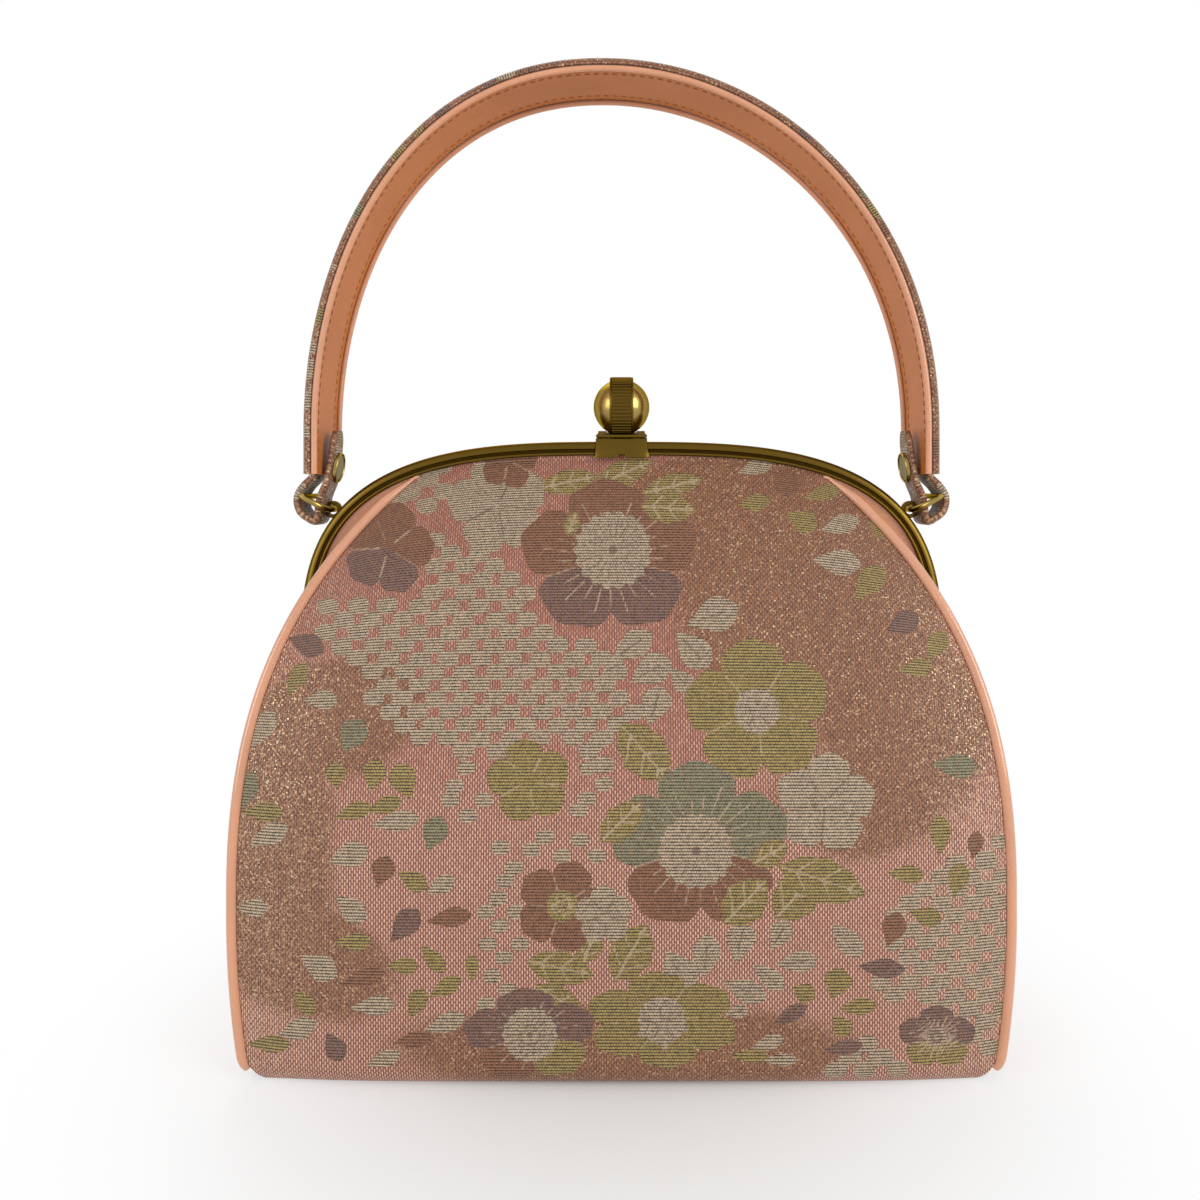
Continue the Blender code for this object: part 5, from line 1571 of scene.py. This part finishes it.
def strip(name, section, finish, keep_map=False):
    """A strip swept along the handle with a section of (across, below) pairs."""
    stations = handle_stations()
    rings = np.stack([along_handle(across, below, stations) for across, below in section], axis=1)
    places = None
    if keep_map:
        girth, run = distance_along(np.array(section)), distance_along(stations[0])
        places = np.stack(np.meshgrid(girth, run), -1) / MM
    return swept(name, rings, finish, 45.0, places)


def scattered_figures(places, seed, wide, long):
    """Loose petals, dots and haze over a narrow piece, at places in millimetres."""
    figures = Figures(places[:, 0], places[:, 1])
    chance = np.random.default_rng(seed)
    for start in np.arange(0.0, long, 34.0):
        figures.cloud((chance.uniform(0, wide), start), 44.0, 30.0, chance.uniform(0, 90))
    for start in np.arange(4.0, long, 3.5):
        layer = ("cream", "olive", "mauve", "sage", "rose", "olive", "cream")[chance.integers(7)]
        figures.petal(layer, (chance.uniform(0.0, 1.0) * wide, start), chance.uniform(0, 360), 10.0, 5.5)
    return figures


def figure_piece(piece, seed):
    """Weave scattered figures into a narrow piece that has a cloth map."""
    mesh = piece.data
    spots = np.empty(len(mesh.loops) * 2, np.float32)
    mesh.uv_layers[0].data.foreach_get("uv", spots)
    places = np.zeros((len(mesh.vertices), 2))
    places[corner_points(mesh)] = spots.reshape(-1, 2)
    wide, long = places.max(0)
    scattered_figures(places, seed, wide, long).keep(mesh)


ROLLED_EDGE = (
    (0.0, 0.0), (0.05, 0.16), (0.3, 0.2), (1.1, 0.2), (1.35, 0.4), (1.5, 0.75), (1.7, 0.96), (1.95, 1.0),
    (2.2, 0.94), (2.4, 0.8), (2.7, 0.72), (3.2, 0.7), (8.0, 0.74))


def make_handle():
    """The brocade strap with its vinyl inner face, stitching and piping."""
    sizes = handle_sizes()
    half = sizes.width / 2
    tuck, droop, steps = 0.0004, 0.62, 26
    section = [(-half + tuck, sizes.thickness)]
    for step in range(steps + 1):
        share = 2 * step / steps - 1
        section.append((half * math.copysign(abs(share) ** 0.9, share),
                        sizes.thickness * droop * abs(share) ** 5))
    section.append((half - tuck, sizes.thickness))
    strap = strip("strap_brocade", section, material("brocade"), keep_map=True)
    figure_piece(strap, 11)
    fit(strap, "handle_strap", "handle")

    top = sizes.thickness + frame_sizes().gap
    low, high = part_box("handle_lining")
    lining_half = (high.y - low.y) / 2
    thick, stitch_inset, stitch_depth = 0.0010, 0.0041, 0.74
    edge = [(-lining_half + across * MM, top + thick * deep) for across, deep in ROLLED_EDGE]
    section = edge + [(-across, deep) for across, deep in reversed(edge)]
    lining = strip("strap_vinyl", section, material("strap"))
    fit(lining, "handle_lining", "handle")
    for side, sign in (("front", -1), ("rear", 1)):
        piping = cord("strap_piping_" + side,
                      along_handle(sign * (half - sizes.piping_radius), top + sizes.piping_radius),
                      sizes.piping_radius, material("edging"))
        fit(piping, "handle_piping_" + side, "handle")
        row = stitches("strap_stitches_" + side,
                       along_handle(sign * (lining_half - stitch_inset), top + thick * stitch_depth)[3:-3],
                       sizes.stitch_pitch, material("thread"))
        fit(row, None, "handle")


TAB_PATH_SHARES = (
    (0.00, -0.016), (0.06, 0.08), (0.60, 0.28), (0.97, 0.52), (0.80, 0.80), (0.15, 0.97), (-0.10, 1.00),
    (-0.18, 0.92), (-0.22, 0.72), (-0.34, 0.45), (-0.62, 0.15), (-0.77, -0.15),
    (-0.87, -0.45), (-0.95, -0.75), (-1.00, -1.00))


def smooth_path(points, steps):
    """A smooth curve through points, by the Catmull-Rom rule."""
    points = np.asarray(points, float)
    padded = np.concatenate([points[:1], points, points[-1:]])
    path = []
    for index in range(len(points) - 1):
        before, start, end, after = padded[index:index + 4]
        for share in np.arange(steps) / steps:
            path.append(0.5 * (2 * start + (end - before) * share
                               + (2 * before - 5 * start + 4 * end - after) * share ** 2
                               + (3 * start - 3 * end + after - before) * share ** 3))
    path.append(points[-1])
    return np.array(path)


def tab_line():
    """The middle line of the right-hand tab."""
    sizes = handle_sizes()
    start_thickness, reach, inset, drop, rise = 0.0030, 0.0049, 0.0068, 0.0150, 0.0155
    points = []
    for across, down in TAB_PATH_SHARES:
        x = sizes.half_width - start_thickness / 2 + across * (reach if across > 0 else inset)
        z = sizes.foot - frame_sizes().gap - down * (drop if down > 0 else rise)
        points.append((x, handle_middle(), z))
    return smooth_path(points, 7)


def make_tabs():
    """The brocade loops that hold the rings, and the rivets that close them."""
    path = tab_line()
    run = np.gradient(path, axis=0)
    normal = unit(np.stack([-run[:, 2], np.zeros(len(run)), run[:, 0]], -1))
    shares = np.linspace(0, 1, len(path))
    full = np.clip(6 * shares, 0, 1)
    thick, hollow, padding, flattening = 0.0015, 0.0007, 0.0006, 0.0005
    inner = thick - hollow * full
    outer = thick + padding * full - flattening * np.clip((shares - 0.6) / 0.2, 0, 1)
    normal *= np.sign((normal * (path - path.mean(axis=0))).sum())
    taper = np.clip((shares - 0.72) / 0.28, 0, 1)
    tip = np.clip((shares - 0.93) / 0.07, 0, 1)
    widest, narrowing, rounding = 0.0066, 0.0021, 0.0022
    width = widest - narrowing * taper ** 2 - rounding * tip ** 1.5
    angles = np.linspace(0, FULL_TURN, 29)[:-1]
    across = np.sign(np.cos(angles)) * np.abs(np.cos(angles)) ** 0.35
    up = np.sign(np.sin(angles)) * np.abs(np.sin(angles)) ** 0.8
    rise = np.where(up > 0, up * outer[:, None], up * inner[:, None])
    spread = (width[:, None] * across)[..., None] * FRONT_TO_BACK
    rings = path[:, None] + normal[:, None] * rise[..., None] + spread
    girth = across * widest / MM + 7.0
    places = np.stack(np.meshgrid(girth, distance_along(path) / MM), -1)
    right = swept("tab_loop_right", rings, material("brocade"), 60.0, places)
    figure_piece(right, 5)
    left = mirrored(right, "tab_loop_left", 0)
    for piece, node in ((right, "tab_right"), (left, "tab_left")):
        fit(piece, node, "handle")
    rivet_share, rivet_rise = 0.80, 0.0017
    index = round(rivet_share * (len(path) - 1))
    inward = normal[index] if normal[index][0] < 0 else -normal[index]
    make_rivets(path[index] + inward * rivet_rise, inward)


def make_rivets(seat, inward):
    """A pale disc in a brass rim on each tab."""
    radius, wall, dome = 0.0046, 0.0006, 0.00045
    disc = [(0.0, radius), (wall, radius)]
    disc += [(wall + dome * math.sin(angle), radius * math.cos(angle) ** 0.5)
             for angle in arc(8, QUARTER_TURN)]
    rim_radius, rim_wall, rim_rise, rim_middle, rim_half = 0.0052, 0.0007, 0.0005, 0.0049, 0.0003
    rim = [(0.0, rim_radius)]
    rim += [(rim_wall + rim_rise * math.sin(angle), rim_middle + rim_half * math.cos(angle))
            for angle in arc(8, math.pi)]
    for side, sign in HANDS:
        place = seat * (sign, 1, 1)
        along = inward * (sign, 1, 1)
        plate = turned("rivet_disc_" + side, disc, place, material("nickel"), axis=along, sides=48)
        edge = turned("rivet_rim_" + side, rim, place, material("bright"), axis=along, sides=48)
        fit(edge, "tab_rivet_" + side, "handle")
        fit(plate, None, "handle")


def make_rings():
    """The two brass rings and the small lugs that carry them."""
    half, deep, wire, rise = 0.0100, 0.0088, 0.0010, math.radians(31.0)
    lug_at, eye_height = 0.0975, 0.0033
    lug_point, out = arch_points([arch_angle_at_x(lug_at)], 0.0)
    eye = (lug_point[0] + out[0] * eye_height) * (-1, 1, 1)
    eye[1] = handle_middle()
    away = np.array([math.cos(rise), 0.0, math.sin(rise)])
    angles = np.linspace(-QUARTER_TURN, QUARTER_TURN, 61)
    across = np.sign(angles) * np.abs(np.sin(angles)) ** (2 / 3) * half
    reach = deep * (1 - np.abs(np.cos(angles)) ** (2 / 3))
    bend = eye + np.outer(reach, away) + np.outer(across, FRONT_TO_BACK)
    back = eye + away * deep + np.outer(np.linspace(half, -half, 21)[1:-1], FRONT_TO_BACK)
    path = np.concatenate([bend, back])
    for side, sign in HANDS:
        ring = cord("d_ring_" + side, path * (sign, 1, 1), wire, material("bright"), closed=True)
        fit(ring, "ring_" + side, "handle")
        lug = bevelled_copy("lug_eye_" + side, "ring_lug_" + side, material("brass"), 0.0001)
        fit(lug, "ring_lug_" + side, "bag")


def paint_kept_nodes():
    """The packed nodes that stay get their own finish."""
    for name in ("hinge_rivet_left", "hinge_rivet_right", "clasp_pin"):
        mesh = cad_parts[name].data
        mesh.materials.clear()
        mesh.materials.append(material("bright"))


# Stage

LAMPS = (("key", (1.1, -0.8, 0.55), 11.2), ("fill", (-1.1, -0.9, 0.5), 8.4), ("rim", (-0.3, 0.9, 1.1), 4.0))
LAMP_SIZE = 0.8
LAMPS_AIM = (0.0, 0.0, 0.14)
WHITE = (1.0, 1.0, 1.0, 1.0)


def white_for_camera(tree, base):
    """How much a ray goes to the camera, a gloss or a clear piece, and so sees plain white."""
    rays = tree.nodes.new("ShaderNodeLightPath")
    seen = Value(rays.outputs["Is Camera Ray"]).larger(Value(rays.outputs["Is Glossy Ray"]))
    return seen.larger(Value(rays.outputs["Is Transmission Ray"])) * base


def floor_material():
    """A pale floor that the camera sees fade to plain white."""
    finish = Finish("pale_floor")
    finish.done(Base_Color=(0.97, 0.97, 0.97), Roughness=0.9)
    glow = finish.tree.nodes.new("ShaderNodeEmission")
    glow.inputs["Color"].default_value = WHITE
    away = finish.node("ShaderNodeVectorMath", {0: finish.object_place()}, {"operation": "LENGTH"}, 1)
    mixer = finish.tree.nodes.new("ShaderNodeMixShader")
    join(mixer.inputs[0], white_for_camera(finish.tree, 1.0) * finish.step(away, 0.0, 0.2))
    output = finish.tree.nodes["Material Output"]
    for start, end in ((finish.shader.outputs[0], mixer.inputs[1]), (glow.outputs[0], mixer.inputs[2]),
                       (mixer.outputs[0], output.inputs["Surface"])):
        finish.tree.links.new(start, end)
    return finish.material


def make_floor():
    """A round floor just under the bag."""
    count, reach, drop = 96, 4.0, 0.0002
    angles = np.arange(count) / count * FULL_TURN
    rim = np.stack([np.cos(angles), np.sin(angles), np.zeros(count)], -1) * reach
    floor = built("floor", rim, [list(range(count))], floor_material())
    floor.location.z = -drop


def make_lights():
    """A white world and three soft lamps."""
    world = bpy.data.worlds.new("studio")
    bpy.context.scene.world = world
    world.use_nodes = True
    light = world.node_tree.nodes["Background"]
    light.inputs["Color"].default_value = WHITE
    join(light.inputs["Strength"], white_for_camera(world.node_tree, 0.6) + 0.4)
    for name, place, power in LAMPS:
        lamp = bpy.data.lights.new(name, "AREA")
        lamp.size = LAMP_SIZE
        lamp.energy = power
        add(name, lamp, place, (Vector(LAMPS_AIM) - Vector(place)).to_track_quat("-Z", "Y").to_euler())


def make_camera():
    """The camera, placed and shifted as the photograph was taken."""
    camera = bpy.data.cameras.new("camera")
    camera.sensor_fit = "HORIZONTAL"
    camera.lens = camera.sensor_width * PHOTO_FOCUS / PHOTO_SIZE
    camera.shift_x = (PHOTO_SIZE / 2 - PHOTO_AXIS[0]) / PHOTO_SIZE
    camera.shift_y = (PHOTO_AXIS[1] - PHOTO_SIZE / 2) / PHOTO_SIZE
    camera.clip_start = 0.01
    bpy.context.scene.camera = add("camera", camera, CAMERA_PLACE, (QUARTER_TURN, 0.0, 0.0))
    bpy.context.scene.view_settings.view_transform = "Standard"


# Operators, panel and start


def operator(idname, label, text, *makers):
    """An operator class that runs the makers of one group of pieces."""

    def execute(self, context):
        for maker in makers:
            maker()
        return {"FINISHED"}

    return type("HANDBAG_OT_" + idname, (bpy.types.Operator,),
                {"bl_idname": "handbag." + idname, "bl_label": label, "__doc__": text, "execute": execute})


OPERATORS = (
    operator("brocade", "Brocade", "Weave the front, the rear and the base", make_brocade, make_base_cloth),
    operator("lining", "Lining", "Line the boards and panels with satin", make_lining),
    operator("gussets", "Side walls", "Make the folded vinyl side walls", make_gussets),
    operator("vinyl", "Bands and piping", "Make the vinyl bands and the body's piping", make_vinyl),
    operator("mouth_frame", "Mouth frame", "Make the two brass channels", make_frame_halves),
    operator("clasp", "Clasp", "Make the ball, wheel, saddle, catch and bracket", make_clasp),
    operator("handle", "Handle", "Make the strap, its lining, piping and stitches", make_handle),
    operator("tabs", "Tabs", "Make the brocade tabs and their rivets", make_tabs),
    operator("rings", "Rings", "Make the rings and their lugs", make_rings, paint_kept_nodes),
    operator("stage", "Stage", "Set floor, lamps and camera", make_floor, make_lights, make_camera),
)


class HANDBAG_PT_panel(bpy.types.Panel):
    """Sizes, colours and the steps that make the bag."""
    bl_label = "Kimono handbag"
    bl_idname = "HANDBAG_PT_panel"
    bl_space_type = "VIEW_3D"
    bl_region_type = "UI"
    bl_category = "Handbag"

    def draw(self, context):
        for kind in OPERATORS:
            self.layout.operator(kind.bl_idname)
        for key in PROPERTIES:
            box = self.layout.box()
            group = getattr(context.scene, key)
            for entry in group.bl_rna.properties:
                if entry.identifier not in ("rna_type", "name"):
                    box.prop(group, entry.identifier)


PROPERTIES = {
    "handbag_body": BagBodySizes,
    "handbag_frame": BagFrameSizes,
    "handbag_clasp": BagClaspSizes,
    "handbag_handle": BagHandleSizes,
    "handbag_colours": BagColours,
}


def register():
    """Register the property groups, the operators and the panel."""
    for key, kind in PROPERTIES.items():
        bpy.utils.register_class(kind)
        setattr(bpy.types.Scene, key, bpy.props.PointerProperty(type=kind))
    for kind in (*OPERATORS, HANDBAG_PT_panel):
        bpy.utils.register_class(kind)


def unregister():
    """Take everything out again."""
    for kind in (HANDBAG_PT_panel, *reversed(OPERATORS)):
        bpy.utils.unregister_class(kind)
    for key, kind in reversed(PROPERTIES.items()):
        delattr(bpy.types.Scene, key)
        bpy.utils.unregister_class(kind)


def main():
    """Make every piece in order, then keep the two boxes for comparison."""
    register()
    for kind in OPERATORS:
        getattr(bpy.ops.handbag, kind.bl_idname.split(".")[1])()


if __name__ == "__main__":
    main()
